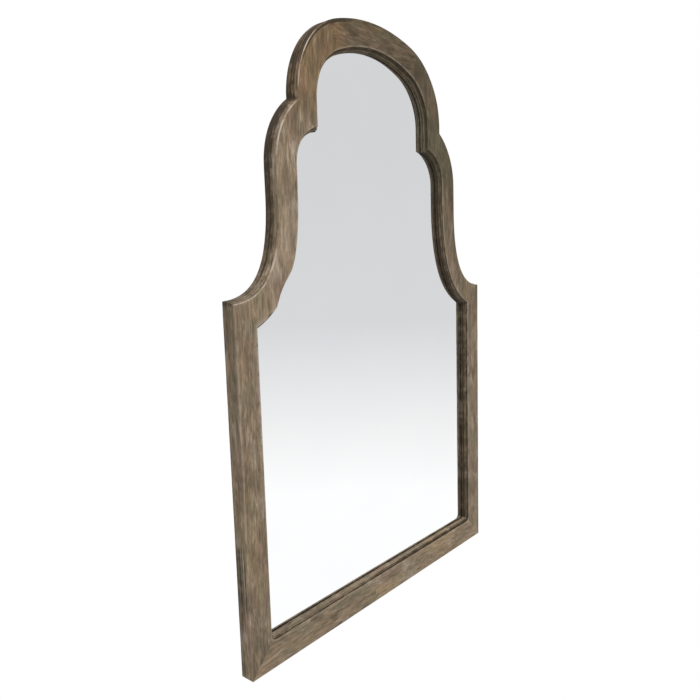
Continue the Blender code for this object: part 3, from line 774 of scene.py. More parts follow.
def between(tree, value, low, high, bottom=0.0, top=1.0):
    """The value's way from low to high, eased at both ends and laid between bottom and top."""
    settings = {"Value": value, "From Min": low, "From Max": high, "To Min": bottom, "To Max": top}
    return put(tree, "ShaderNodeMapRange", settings, interpolation_type="SMOOTHSTEP").outputs["Result"]


def sum_of(tree, operation, first, second=0.0):
    """A sum or other operation on two values."""
    return put(tree, "ShaderNodeMath", {0: first, 1: second}, operation=operation).outputs["Value"]


def product(tree, first, *others):
    """The values multiplied together."""
    for other in others:
        first = sum_of(tree, "MULTIPLY", first, other)
    return first


def tinted(tree, amount, colour, other, blend="MIX"):
    """One colour laid over another by the amount."""
    made = put(tree, "ShaderNodeMix", {0: amount, 6: colour, 7: other}, data_type="RGBA", blend_type=blend)
    return made.outputs[2]


def scaled(tree, colour, value):
    """A colour times a value."""
    grey = put(tree, "ShaderNodeCombineColor", {0: value, 1: value, 2: value}).outputs[0]
    return tinted(tree, 1.0, colour, grey, "MULTIPLY")


def axes_of(tree, place):
    """The three coordinates, each as its own value."""
    return put(tree, "ShaderNodeSeparateXYZ", {0: place}).outputs


def carried(tree, label):
    """A value that the surface carries at each of its points."""
    return put(tree, "ShaderNodeAttribute", attribute_name=label).outputs["Fac"]


def patch(tree, axes, *limits):
    """A soft patch: the product of (axis, low, high) limits, each rising from 0 at low to 1 at high."""
    return product(tree, *(between(tree, axes[axis], low, high) for axis, low, high in limits))


def group(name, takes, gives):
    """An empty node group with the named inputs and outputs, each with its socket type."""
    tree = bpy.data.node_groups.new(name, "ShaderNodeTree")
    for label, kind in takes.items():
        tree.interface.new_socket(name=label, in_out="INPUT", socket_type=kind)
    for label, kind in gives.items():
        tree.interface.new_socket(name=label, in_out="OUTPUT", socket_type=kind)
    return tree, tree.nodes.new("NodeGroupInput").outputs


def fresh(name):
    """A new material with its tree, its shader and the coordinates of the object it is on."""
    finish = bpy.data.materials.new(name)
    finish.use_nodes = True
    tree = finish.node_tree
    return finish, tree, tree.nodes["Principled BSDF"], put(tree, "ShaderNodeTexCoord").outputs["Object"]


def coated(tree, shader, colour, roughness):
    """Give the shader its colour and its roughness."""
    tree.links.new(colour, shader.inputs["Base Color"])
    tree.links.new(roughness, shader.inputs["Roughness"])


def uneven(tree, shader, height, strength, distance):
    """Give the shader a fine unevenness."""
    bump = put(tree, "ShaderNodeBump", {"Strength": strength, "Distance": distance, "Height": height})
    tree.links.new(bump.outputs["Normal"], shader.inputs["Normal"])


FLOAT = "NodeSocketFloat"
VECTOR = "NodeSocketVector"

# Figure of the wood, with the grain along X: broad bands, fine fibres and short open pores
figure, taken = group(
    "wood_figure", {"Board": VECTOR}, {label: FLOAT for label in ("Bands", "Fibres", "Mottle", "Pores")}
)
grain_bend = 0.03
drift = product(figure, cloud(figure, taken["Board"], (3.0, 9.0, 9.0)), grain_bend)
sideways = put(figure, "ShaderNodeCombineXYZ", {"Y": drift}).outputs[0]
bent = put(figure, "ShaderNodeVectorMath", {0: taken["Board"], 1: sideways}, operation="ADD").outputs[0]
pore_field = between(figure, cloud(figure, bent, (75.0, 1500.0, 1100.0), 1.0, 0.4), 0.60, 0.69)
pore_patch = between(figure, cloud(figure, bent, (14.0, 60.0, 60.0), 2.0, 0.5), 0.42, 0.62)
put(figure, "NodeGroupOutput", {
    "Bands": cloud(figure, bent, (9.0, 95.0, 70.0), 4.0, 0.58, 0.5),
    "Fibres": cloud(figure, bent, (34.0, 640.0, 480.0), 3.0, 0.6),
    "Mottle": cloud(figure, bent, (45.0, 230.0, 230.0), 3.0, 0.6),
    "Pores": product(figure, pore_field, pore_patch),
})

# Patches of the grey wash, brushed on along the grain, one mask for each tint that it left, and how thick
# it lies: it wears thinner and darker toward the crown and the right. A damp mossy patch lies on the right
# haunch, a dark one at the left shoulder tip and a golden one on the left of the crown.
wash, taken = group(
    "grey_wash", {"Place": VECTOR, "Lay": VECTOR},
    {label: FLOAT for label in ("Rose", "Moss", "Straw", "Shade", "Chalk", "Spots", "Thin", "Gold")},
)
brushed_out = 0.34
thin_lean = 0.55
patch_amount = 0.75
masks = {}
for label, scale, shift, detail, low, high in (
    ("Rose", 44.0, (0.7, 0.0, 0.3), 3.0, 0.47, 0.62),
    ("Moss", 37.0, (2.1, 0.9, 0.0), 3.0, 0.48, 0.62),
    ("Straw", 21.0, (4.3, 0.2, 1.1), 3.0, 0.46, 0.64),
    ("Shade", 50.0, (6.7, 1.3, 0.5), 4.0, 0.49, 0.66),
    ("Chalk", 64.0, (8.2, 2.3, 1.5), 3.0, 0.52, 0.68),
    ("Spots", 170.0, (3.3, 5.3, 2.5), 2.0, 0.62, 0.74),
):
    field = stretched(wash, taken["Lay"], (scale, scale, brushed_out * scale), shift=shift)
    masks[label] = between(wash, cloud(wash, field, 1.0, detail, 0.60, 0.35), low, high)
axes = axes_of(wash, taken["Place"])
toward_crown = sum_of(wash, "ADD", axes["Z"], product(wash, axes["X"], thin_lean))
masks["Thin"] = between(wash, toward_crown, 0.67, 1.10)
damp = patch(wash, axes, ("Z", 0.82, 0.89), ("Z", 1.02, 0.95), ("X", 0.10, 0.18))
masks["Moss"] = sum_of(wash, "MAXIMUM", masks["Moss"], product(wash, damp, patch_amount))
tip = patch(wash, axes, ("X", -0.335, -0.365), ("Z", 0.55, 0.595))
masks["Shade"] = sum_of(wash, "MAXIMUM", masks["Shade"], product(wash, tip, patch_amount))
masks["Gold"] = patch(wash, axes, ("Z", 0.93, 0.98), ("X", -0.07, -0.12))
put(wash, "NodeGroupOutput", masks)

# Rubbed edges, pale partly from wear and partly as a painted highlight: the mark is broken up where a
# hand or a cloth missed it
rubbing_and_highlight, taken = group("rubbed_edge_and_highlight", {"Place": VECTOR, "Rub": FLOAT}, {"Mask": FLOAT})
broken = between(rubbing_and_highlight, cloud(rubbing_and_highlight, taken["Place"], 48.0, 4.0, 0.62), 0.36, 0.54, 0.22, 1.0)
put(rubbing_and_highlight, "NodeGroupOutput", {"Mask": product(rubbing_and_highlight, broken, taken["Rub"])})

washed_dark = (0.148, 0.106, 0.068)
washed_light = (0.300, 0.226, 0.148)
washed_plain = (0.226, 0.169, 0.108)
wash_tints = {
    "Rose": (0.330, 0.215, 0.160),
    "Moss": (0.165, 0.160, 0.098),
    "Straw": (0.330, 0.240, 0.128),
    "Shade": (0.098, 0.070, 0.043),
    "Chalk": (0.420, 0.350, 0.270),
    "Spots": (0.105, 0.062, 0.036),
}
thinned_tint = (0.47, 0.458, 0.41, 1)
golden_tint = (1.08, 0.98, 0.85, 1)
pore_colour = (0.040, 0.026, 0.015, 1)
rubbed_and_highlight_colour = (0.66, 0.55, 0.44, 1)
grime_and_shade_colour = (0.034, 0.024, 0.013, 1)
scraped_colour = (0.200, 0.180, 0.145, 1)
bare_colour = (0.46, 0.34, 0.215, 1)
pore_strength = 0.45
rubbed_and_highlight_strength = 0.62
grime_and_shade_strength = 0.95
bare_strength = 0.72
line_pitch = 320.0
line_drift = 2.2
rubbed_shine = 0.20
bare_dullness = 0.25
fibre_height = 0.6
ALONG = (0, 0, 0)
UPRIGHT = (0, math.pi / 2, 0)


def opaque(colour, tone=1.0):
    """The colour times a tone, with full opacity."""
    return (*(part * tone for part in colour), 1)


def weathered(name, turn, shift, tone=1.0, streaks=0.85, amounts=(0.36, 0.34, 0.32, 0.44, 0.44, 0.22)):
    """Stained wood under a worn grey wash, its grain turned along the piece.

    Grime, mostly painted shade, settles where the surface says so, broken up by clouds and by lines along
    the moulding. Rubbed edges turn pale, partly from wear and partly as a painted highlight. The scraped
    lines show where the grime is neither thin nor thick.
    """
    finish, tree, shader, place = fresh(name)
    board = stretched(tree, place, (1, 1, 1), turn, shift)
    grain = put(tree, "ShaderNodeGroup", {"Board": board}, node_tree=figure).outputs
    lay = stretched(tree, place, (1, 1, 1), UPRIGHT) if turn == ALONG else place
    patches = put(tree, "ShaderNodeGroup", {"Place": place, "Lay": lay}, node_tree=wash).outputs
    rub_and_highlight, grime_and_shade, bare, across = (carried(tree, label) for label in ("rub_and_highlight", "grime_and_shade", "bare", "across"))
    rubbed_and_lit_edges = put(tree, "ShaderNodeGroup", {"Place": place, "Rub": rub_and_highlight}, node_tree=rubbing_and_highlight).outputs["Mask"]
    band = between(tree, grain["Bands"], 0.32, 0.68)
    colour = tinted(tree, band, opaque(washed_dark, tone), opaque(washed_light, tone))
    colour = tinted(tree, streaks, opaque(washed_plain, tone), colour)
    for (label, tint), amount in zip(wash_tints.items(), amounts):
        colour = tinted(tree, product(tree, patches[label], amount), colour, opaque(tint, tone))
    colour = scaled(tree, colour, between(tree, grain["Fibres"], 0.32, 0.68, 0.80, 1.20))
    colour = scaled(tree, colour, between(tree, grain["Mottle"], 0.30, 0.70, 0.78, 1.22))
    colour = tinted(tree, product(tree, grain["Pores"], pore_strength), colour, pore_colour)
    for label, tint in (("Thin", thinned_tint), ("Gold", golden_tint)):
        colour = tinted(tree, patches[label], colour, tinted(tree, 1.0, colour, tint, "MULTIPLY"))
    # Pale rubbed edges: partly wear, partly a painted highlight
    colour = tinted(tree, product(tree, rubbed_and_lit_edges, rubbed_and_highlight_strength), colour, rubbed_and_highlight_colour)
    drift = product(tree, cloud(tree, place, 24.0), line_drift)
    line_place = sum_of(tree, "ADD", product(tree, across, line_pitch), drift)
    settings = {"W": line_place, "Scale": 1.0, "Detail": 2.0}
    lines = put(tree, "ShaderNodeTexNoise", settings, noise_dimensions="1D").outputs["Fac"]
    clouded = between(tree, cloud(tree, place, 60.0, 4.0), 0.3, 0.7, -0.18, 0.26)
    clouded = sum_of(tree, "ADD", clouded, between(tree, lines, 0.38, 0.62, -0.36, 0.20))
    # How dark the grime and painted shade lie
    settled = between(tree, sum_of(tree, "ADD", grime_and_shade, clouded), 0.20, 1.15)
    settled = product(tree, settled, between(tree, grime_and_shade, 0.0, 0.12), grime_and_shade_strength)
    colour = tinted(tree, settled, colour, grime_and_shade_colour)
    scraped = product(
        tree, between(tree, lines, 0.44, 0.34), between(tree, grime_and_shade, 0.15, 0.50, 0.0, 0.24),
        between(tree, grime_and_shade, 0.80, 1.05, 1.0, 0.0),
    )
    colour = tinted(tree, scraped, colour, scraped_colour)
    colour = tinted(tree, product(tree, bare, bare_strength), colour, bare_colour)
    rough = between(tree, grain["Bands"], 0.3, 0.7, 0.58, 0.68)
    rough = sum_of(tree, "SUBTRACT", rough, product(tree, rubbed_and_lit_edges, rubbed_shine))
    coated(tree, shader, colour, sum_of(tree, "ADD", rough, product(tree, bare, bare_dullness)))
    height = sum_of(tree, "SUBTRACT", product(tree, grain["Fibres"], fibre_height), grain["Pores"])
    uneven(tree, shader, height, 0.35, 0.0005)
    shader.inputs["Specular IOR Level"].default_value = 0.18
    return finish


# How much of each tint of the wash a piece has
STREAKED = (0.45, 0.42, 0.16, 0.62, 0.34, 0.45)
SANDED = (0.38, 0.16, 0.50, 0.14, 0.46, 0.10)
MOSSY = (0.24, 0.90, 0.14, 0.60, 0.30, 0.30)
ROSY = (0.50, 0.30, 0.08, 0.42, 0.62, 0.20)
GREYED = (0.34, 0.44, 0.10, 0.44, 0.50, 0.20)
BROWNED = (0.64, 0.46, 0.55, 0.60, 0.28, 0.45)
moulding("rail_left", ALONG, (0.3, 0.1, 0.2), 0.99, 0.62, STREAKED)
moulding("rail_right", ALONG, (1.9, 0.7, 0.4), 1.02, 0.35, SANDED)

# Stiles
# Upright sides of solid wood, mitred and dowelled to the rail, with the same moulding and rebate.
left_grain = (3.1, 0.2, 0.9)
right_grain = (4.2, 0.5, 0.1)
moulding("stile_left", UPRIGHT, left_grain, 0.92)
moulding("stile_right", UPRIGHT, right_grain, 0.87, 0.85, GREYED)

# Shoulders
# Sawn from a wider board, with the scoop cut and moulded by hand, dowelled on top of the stiles.
moulding("shoulder_left", UPRIGHT, left_grain, 0.90)
moulding("shoulder_right", UPRIGHT, right_grain, 0.82, 0.85, GREYED)

# Lobes
# Each carries the round lobe, the notch and the haunch of the arch, dowelled at the neck.
moulding("lobe_left", UPRIGHT, left_grain, 0.94, 0.80, ROSY)
moulding("lobe_right", UPRIGHT, right_grain, 0.90, 0.58, MOSSY)

# Crown
# The top of the arch, one piece with the grain across, dowelled between the lobes.
moulding("crown", ALONG, (9.7, 0.9, 0.3), 0.93, 0.45, BROWNED)

# Dowels
# Beech pins, a pair across each glued joint, hidden in their bores.


def new_look(node, finish):
    """The CAD node keeps its shape and takes a new material."""
    node.data.materials.clear()
    node.data.materials.append(finish)


def speckled(name, colour, other, scale, rough):
    """A finish with fine flecks between two colours, rougher where they are lighter, and slightly uneven."""
    finish, tree, shader, place = fresh(name)
    flecks = cloud(tree, place, (scale,) * 3, 4.0, 0.6)
    mixed = tinted(tree, between(tree, flecks, 0.32, 0.68), opaque(colour), opaque(other))
    coated(tree, shader, mixed, between(tree, flecks, 0.25, 0.75, *rough))
    uneven(tree, shader, flecks, 0.15, 0.0002)
    return finish


beech = speckled("dowel_beech", (0.62, 0.42, 0.25), (0.47, 0.29, 0.16), 300.0, (0.55, 0.75))
for name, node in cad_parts.items():
    if name.startswith("dowel_"):
        new_look(node, beech)

# Mirror glass
# A 4 mm sheet silvered on the back and painted grey behind, with its edge ground to a small arris. It
# stands on the two shims in the rebate and is one bright even surface, but for a thin edge at the foot
# and on the right, painted dark as a reflection of the lip.
glass_thickness = 0.004
glass_room = 0.0026
glass_arris = 0.0005
seat_gap = 0.0003
loop_steps = (30, 8, 120, 190, 170)
flat_crease = math.radians(30)


def full_loop(inset, steps):
    """The whole opening at an inset, once round: up the right side and down the carved left one."""
    halves = []
    for outline in (opening, carved_opening):
        low, bend, top = offset_runs(outline, (inset,) * 3)
        low_tip, bend_tip = crossing(low, bend)
        bend_notch, top_notch = crossing(bend, top)
        halves.append(chained(
            stations(low, crossing(low, middle_line)[0], corner_start, steps[0]),
            stations(low, corner_start, corner_end, steps[1]),
            stations(low, corner_end, low_tip, steps[2]),
            stations(bend, bend_tip, bend_notch, steps[3]),
            stations(top, top_notch, crossing(top, middle_line)[0], steps[4]),
        ))
    right, left = halves
    return np.vstack((right, left[-2:0:-1] * np.array((-1, 1))))


def slab(name, edge_rows, finishes, finish_of_rows, values=None):
    """A flat sheet: (inset, depth) rows of its edge carried round the opening, closed by both faces."""
    loops = [(full_loop(inset, loop_steps), front_y + depth) for inset, depth in edge_rows]
    grid = np.stack([np.insert(loop, 1, level, axis=1) for loop, level in loops])
    count, along = grid.shape[:2]
    ring_points = np.arange(along)
    faces = quads(count, along, False, True)
    faces += [ring_points[::-1].tolist(), (ring_points + (count - 1) * along).tolist()]
    kinds = np.repeat(finish_of_rows[:-2], along).tolist() + list(finish_of_rows[-2:])
    return surfaced(name, grid, faces, finishes, values, kinds, flat_crease)


# Painted reflection of the lip along the glass edge: (inset, share of the painted darkening) from the clear
# glass out to the edge
lip_reflection_reach = 0.0032
lip_reflection_strength = 0.72
lip_reflection_colour = (0.10, 0.105, 0.085, 1)
silver_dim = (0.925, 0.930, 0.938, 1)
silver_clear = (0.935, 0.940, 0.946, 1)
glass_inset = wall_inset + glass_room
glass_front = rebate_depth + seat_gap
glass_back = glass_front + glass_thickness
lip_reflection_rows = (
    (lip_reach + lip_reflection_reach, 0.0), (lip_reach + 0.5 * lip_reflection_reach, 0.8), (lip_reach, 1.0),
    (glass_inset + glass_arris, 1.0),
)
silver, tree, shader, place = fresh("silvered_glass")
haze = cloud(tree, place, 7.0, 3.0, 0.5)
axes = axes_of(tree, place)
# Painted reflection of the lip, dark on the right and at the foot and broken up by clouds; the point value
# named stain carries where it lies
right_reflection_share = between(tree, axes["X"], -0.05, 0.02)
foot_reflection_share = between(tree, axes["Z"], 0.20, 0.10)
spread = sum_of(tree, "MAXIMUM", right_reflection_share, foot_reflection_share)
spread = product(tree, spread, between(tree, cloud(tree, place, 60.0, 3.0), 0.25, 0.55, 0.6, 1.0))
lip_reflection = product(tree, carried(tree, "stain"), spread, lip_reflection_strength)
colour = tinted(tree, between(tree, haze, 0.3, 0.7), silver_dim, silver_clear)
colour = tinted(tree, lip_reflection, colour, lip_reflection_colour)
coated(tree, shader, colour, between(tree, haze, 0.3, 0.7, 0.004, 0.014))
shader.inputs["Metallic"].default_value = 1.0
cut_edge = speckled("glass_edge", (0.10, 0.22, 0.17), (0.20, 0.36, 0.29), 160.0, (0.20, 0.38))
back_paint = speckled("glass_back_paint", (0.16, 0.17, 0.18), (0.21, 0.22, 0.23), 90.0, (0.50, 0.65))
glass_edge = [(inset, glass_front) for inset, _ in lip_reflection_rows] + [
    (glass_inset, glass_front + glass_arris), (glass_inset, glass_back - glass_arris),
    (glass_inset + glass_arris, glass_back),
]
lip_reflection_shares = [share for _, share in lip_reflection_rows] + [0, 0, 0]
glass = slab(
    "mirror_sheet", glass_edge, [silver, cut_edge, back_paint], [0, 0, 0, 1, 1, 1, 0, 2],
    {"stain": np.repeat(lip_reflection_shares, len(full_loop(0, loop_steps)))},
)
fixed(glass, "frame", "mirror_glass")

# Glass shims
# Two black rubber pads under the glass, cut from strip, with the fine grain of a sawn rubber face.
shim_rubber = speckled("shim_rubber", (0.035, 0.035, 0.036), (0.060, 0.060, 0.060), 900.0, (0.70, 0.88))
for side_name in ("left", "right"):
    new_look(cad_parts[f"glass_shim_{side_name}"], shim_rubber)

# Backing board
# A 4 mm hardboard sheet that keeps the glass in, with the press's mesh on its rough side and its
# edges broken by sandpaper. Twelve screws hold it on the ledge.
board_thickness = 0.004
board_room = 0.001
board_round = 0.0006
mesh_pitch = 0.0016
mesh_height = 0.35
board_inset = edge_inset + board_room
board_front = ledge_depth + seat_gap
board_back = board_front + board_thickness
hardboard, tree, shader, place = fresh("hardboard")
flecks = cloud(tree, place, (260.0, 700.0, 260.0), 5.0, 0.65)
stain = between(tree, cloud(tree, place, 9.0, 4.0, 0.55), 0.35, 0.70, 0.0, 0.40)
colour = tinted(tree, between(tree, flecks, 0.30, 0.70), (0.21, 0.125, 0.070, 1), (0.42, 0.275, 0.165, 1))
colour = tinted(tree, stain, colour, (0.20, 0.125, 0.075, 1))
coated(tree, shader, colour, between(tree, flecks, 0.3, 0.7, 0.66, 0.86))
axes = axes_of(tree, place)
waves = [sum_of(tree, "SINE", product(tree, axes[axis], 2 * math.pi / mesh_pitch)) for axis in ("X", "Z")]
uneven(tree, shader, sum_of(tree, "ADD", product(tree, *waves, mesh_height), flecks), 0.5, 0.0003)
sanded = [
    (board_inset + board_round * (1 - math.cos(turn)), board_round * (1 - math.sin(turn)))
    for turn in np.linspace(math.pi / 2, 0, 4)
]
board_edge = [(inset, board_front + off) for inset, off in sanded]
board_edge += [(inset, board_back - off) for inset, off in sanded[::-1]]
fixed(slab("backing_sheet", board_edge, [hardboard], [0] * 9), "frame", "backing_board")

# Board screws
# Zinc-plated pan head wood screws with a cross recess, six on each side, down the middle of the ledge.
# A screw's sizes are the radius of its shank, and the radius and height of its head.
board_screw_sizes = (0.0015, 0.0027, 0.0018)
round_points = 40
thread_pitch = 0.0011
thread_share = 0.16
thread_fade_share = 0.35
blunt_share = 0.02
shank_rows = 90
head_rows = 9
top_rows = 12
head_foot_share = 0.3
head_foot_rise = 0.12
head_edge_share = 0.45
head_swell = 0.2
head_edge_power = 2.2
head_top_share = 0.72
top_middle_share = 0.02
recess_reach_share = 0.56
recess_end_share = 0.12
recess_width_share = 0.15
recess_depth_share = 0.55
recess_wall = 1.6
recess_taper = 0.5
turned_crease = math.radians(45)
pressed_crease = math.radians(50)
zinc, tree, shader, place = fresh("screw_zinc")
bloom = cloud(tree, place, 900.0, 4.0, 0.6)
colour = tinted(tree, between(tree, bloom, 0.35, 0.72), (0.62, 0.59, 0.53, 1), (0.40, 0.37, 0.33, 1))
coated(tree, shader, colour, between(tree, bloom, 0.3, 0.7, 0.26, 0.46))
shader.inputs["Metallic"].default_value = 1.0


def turned_grid(node, base, reach, rise):
    """Points round the middle of a CAD node, from (turn, station) tables of reach and rise above a base."""
    low, high = (np.array(corner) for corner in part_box(node))
    middle = (low + high) / 2
    turn = np.linspace(0, 2 * math.pi, len(reach), endpoint=False)[:, None]
    across = middle[0] + reach * np.cos(turn)
    return np.stack((across, base + rise, middle[2] + reach * np.sin(turn)), axis=-1)


def wrapped(node, ending, grid, finish, crease=soft_crease, body="frame", closed=False):
    """A piece whose rows close on themselves, named after the CAD node that it stands for."""
    faces = tube_faces(*grid.shape[:2], closed)
    return fixed(surfaced(f"{node}_{ending}", grid, faces, [finish], crease=crease), body, node)


def screw(node, radius, head_radius, head_height):
    """A screw as radius and height over the turn: a threaded shank, a domed head and a cross recess.

    The thread is a rounded ridge at height = pitch x (turns + place). The recess is the smaller of the
    distances from two crossed slots, eased and cut out of the head's top.
    """
    foot, back = (corner[1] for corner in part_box(node))
    length = back - foot - head_height
    turn = np.linspace(0, 2 * math.pi, round_points, endpoint=False)
    height = np.linspace(-length, 0, shank_rows)[:, None]
    point = np.clip((height + length) / (2 * radius), blunt_share, 1)
    ridge = 0.5 + 0.5 * np.cos(2 * math.pi * (height / thread_pitch) - turn)
    fade = np.clip(-height / (thread_fade_share * length), 0, 1)
    shank = radius * point * (1 - thread_share * (1 - ridge) * fade)
    parts = [(shank, np.broadcast_to(height, shank.shape))]
    level_ring = np.ones((1, round_points))
    slot_width = recess_width_share * head_radius
    for share in np.linspace(0, 1, head_rows):
        out = head_radius * (1 - (1 - head_top_share) * share**head_edge_power)
        rise = head_edge_share * share + head_swell * share**2
        if share < head_foot_share:
            rise = head_foot_rise * share
        side_top = min(head_height * rise, head_height)
        parts.append((level_ring * out, level_ring * side_top))
    for share in np.linspace(1, top_middle_share, top_rows + 1)[1:]:
        out = head_radius * head_top_share * share
        dome = side_top + (head_height - side_top) * (1 - share**2)
        slots = [np.abs(out * np.sin(turn + way)) / slot_width for way in (0, math.pi / 2)]
        cut = np.clip(recess_wall - np.minimum(*slots), 0, 1)
        cut = cut * np.clip((recess_reach_share - share) / recess_end_share, 0, 1)
        depth = recess_depth_share * head_height * cut * (1 - recess_taper * share)
        parts.append((level_ring * out, (dome - depth)[None]))
    reach, rise = (np.vstack([part[number] for part in parts]).T for number in (0, 1))
    grid = turned_grid(node, back - head_height, reach, rise)
    return wrapped(node, "turned", grid, zinc, turned_crease)


for side_name in ("left", "right"):
    for number in range(1, 7):
        screw(f"board_screw_{side_name}_{number}", *board_screw_sizes)

# Strap hangers
# A steel strip on each neck, rounded at its foot and rolled round the straight side of its ring, with
# the soft edges that the press leaves.
strap_width = 0.012
strap_length = 0.052
strap_thickness = 0.0012
strap_edge = 0.0004
strap_foot_share = 0.06
strap_curl = math.radians(290)
wire_radius = 0.0015
hanger_inset = 0.003
hanger_drop = 0.010
pin_x = (neck_half + inner_neck - edge_inset) / 2 - hanger_inset
curl_radius = wire_radius + seat_gap + strap_thickness / 2
pin_y = back_y + seat_gap + curl_radius + strap_thickness / 2
pin_z = neck_joint - hanger_drop
strip_steps = 64
curl_steps = 56
steel, tree, shader, place = fresh("hanger_steel")
bloom = cloud(tree, place, 420.0, 4.0, 0.6)
rolled = cloud(tree, place, (2600.0, 300.0, 90.0), 2.0, 0.5)
colour = tinted(tree, between(tree, bloom, 0.35, 0.70), (0.63, 0.60, 0.55, 1), (0.46, 0.43, 0.38, 1))
coated(tree, shader, colour, between(tree, rolled, 0.3, 0.7, 0.28, 0.44))
uneven(tree, shader, rolled, 0.2, 0.0001)
shader.inputs["Metallic"].default_value = 1.0


def strap(side_name, side):
    """A strip: a rounded rectangle carried up its path and round the curl, narrowed to a round foot.

    The half width over the foot is the circle's, sqrt(r^2 - (r - s)^2) at the distance s from its end.
    """
    rise = np.linspace(-strap_length, 0, strip_steps)
    straight = np.column_stack((np.full(strip_steps, -curl_radius), rise))
    turn = np.linspace(math.pi, math.pi - strap_curl, curl_steps + 1)
    path = chained(straight, np.column_stack((curl_radius * np.cos(turn), curl_radius * np.sin(turn))))
    way = np.gradient(path, axis=0)
    way = way / np.linalg.norm(way, axis=1)[:, None]
    half = strap_width / 2
    off = np.maximum(half - lengths_along(path), 0)
    widths = np.sqrt(np.maximum(half**2 - off**2, (strap_foot_share * half) ** 2))
    grid = []
    for sign_x, sign_y in ((1, 1), (-1, 1), (-1, -1), (1, -1)):
        for corner in np.linspace(0, math.pi / 2, 4):
            out, up = (math.cos(corner), math.sin(corner))[::sign_x * sign_y]
            rise = sign_y * (strap_thickness / 2 - strap_edge * (1 - up))
            grid.append(np.column_stack((
                side * pin_x + sign_x * (widths - strap_edge * (1 - out)),
                pin_y + path[:, 0] + way[:, 1] * rise,
                pin_z + path[:, 1] - way[:, 0] * rise,
            )))
    node = f"hanger_strap_{side_name}"
    return wrapped(node, "strip", np.array(grid), steel, pressed_crease)


strap("left", -1)
strap("right", 1)

# Hanger screws
# Larger screws of the same kind, two through each strap into the shoulder piece behind it.
hanger_screw_sizes = (0.00175, 0.0036, 0.002)
for side_name in ("left", "right"):
    for number in (1, 2):
        screw(f"hanger_screw_{side_name}_{number}", *hanger_screw_sizes)

# Hanger rings
# D rings of 3 mm plated wire, bent to a bow below and straight through the strap's curl.
ring_inner_width = 0.028
ring_reach = 0.020
ring_corner_radius = 0.003
wire_points = 20
bow_steps = 96
bend_steps = 14
bar_steps = 24
same_point = 1e-6


def ring(side_name, side):
    """A circle of the wire's radius carried round the D: two corners, a half circle and a straight bar."""
    half = ring_inner_width / 2 + wire_radius
    corner = half - ring_corner_radius
    path = chained(
        arc((corner, -ring_corner_radius), ring_corner_radius, math.pi / 2, 0, bend_steps),
        arc((0, half - ring_reach), half, 0, -math.pi, bow_steps),
        arc((-corner, -ring_corner_radius), ring_corner_radius, math.pi, math.pi / 2, bend_steps),
        np.column_stack((np.linspace(-corner, corner, bar_steps), np.zeros(bar_steps))),
    )[:-1]
    apart = np.hypot(*np.diff(path, axis=0).T) > same_point
    path = path[np.concatenate(([True], apart))]
    way = np.roll(path, -1, axis=0) - np.roll(path, 1, axis=0)
    way = way / np.linalg.norm(way, axis=1)[:, None]
    turn = np.linspace(0, 2 * math.pi, wire_points, endpoint=False)[:, None]
    out = wire_radius * np.cos(turn)
    grid = np.stack((
        side * pin_x + path[:, 0] + out * way[:, 1],
        pin_y + np.broadcast_to(wire_radius * np.sin(turn), (wire_points, len(path))),
        pin_z + path[:, 1] - out * way[:, 0],
    ), axis=-1)
    node = f"hanger_ring_{side_name}"
    return wrapped(node, "wire", grid, steel, body=f"ring_{side_name}", closed=True)


ring("left", -1)
ring("right", 1)

# Bumpers
# Self-adhesive rubber domes low on the back, with a soft shoulder and a slightly hollow top.
bumper_radius = 0.006
bumper_thickness = 0.005
bumper_round = 0.0014
bumper_foot = 0.0012
bumper_hollow = 0.0002
bumper_middle = 0.0002
bumper_points = 64
bumper_bend_rows = 8
bumper_top_rows = 9
flat_reach = bumper_radius - bumper_round
bumper_rubber = speckled("bumper_rubber", (0.085, 0.085, 0.088), (0.125, 0.125, 0.125), 500.0, (0.62, 0.82))
top_reach = np.linspace(flat_reach, bumper_middle, bumper_top_rows + 1)[1:]
hollow = bumper_thickness - bumper_hollow * np.sin(math.pi / 2 * (1 - top_reach / flat_reach))
profile = np.vstack((
    (bumper_radius, 0.0), (bumper_radius, bumper_foot),
    arc((flat_reach, bumper_thickness - bumper_round), bumper_round, 0, math.pi / 2, bumper_bend_rows),
    np.column_stack((top_reach, hollow)),
))
for side_name in ("left", "right"):
    node = f"bumper_{side_name}"
    reach, rise = (np.broadcast_to(held, (bumper_points, len(profile))) for held in profile.T)
    grid = turned_grid(node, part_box(node)[0][1], reach, rise)
    wrapped(node, "dome", grid, bumper_rubber, pressed_crease)

# Floor, light and camera
# A pale floor that fades out, soft light from a tall room and an overhead lamp, and the photo's view.
floor_place = (-0.05, -0.05, -0.45)
floor_radius = 0.30
floor_points = 96
floor_grey = (0.86, 0.86, 0.86, 1)
floor_finish, tree, shader, place = fresh("pale_floor")
shader.inputs["Base Color"].default_value = floor_grey
shader.inputs["Roughness"].default_value = 0.8
off = put(tree, "ShaderNodeVectorMath", {0: place}, operation="LENGTH").outputs["Value"]
tree.links.new(between(tree, off, 0.55 * floor_radius, 0.98 * floor_radius, 1.0, 0.0), shader.inputs["Alpha"])
turn = np.linspace(0, 2 * math.pi, floor_points, endpoint=False)
disc = np.column_stack((floor_radius * np.cos(turn), floor_radius * np.sin(turn), np.zeros(len(turn))))
floor_mesh = bpy.data.meshes.new("floor")
floor_mesh.from_pydata(disc.tolist(), [], [list(range(len(turn)))])
floor_mesh.materials.append(floor_finish)
floor = bpy.data.objects.new("floor", floor_mesh)
floor.location = floor_place
bpy.context.scene.collection.objects.link(floor)

camera_place = (-1.0374, -0.8035, 0.6855)
camera_heading = math.radians(49.7308)
camera_pitch = math.radians(-7.3505)
camera_roll = math.radians(-1.6867)
focal_pixels = 653.905
image_pixels = 700
sensor_width = 36


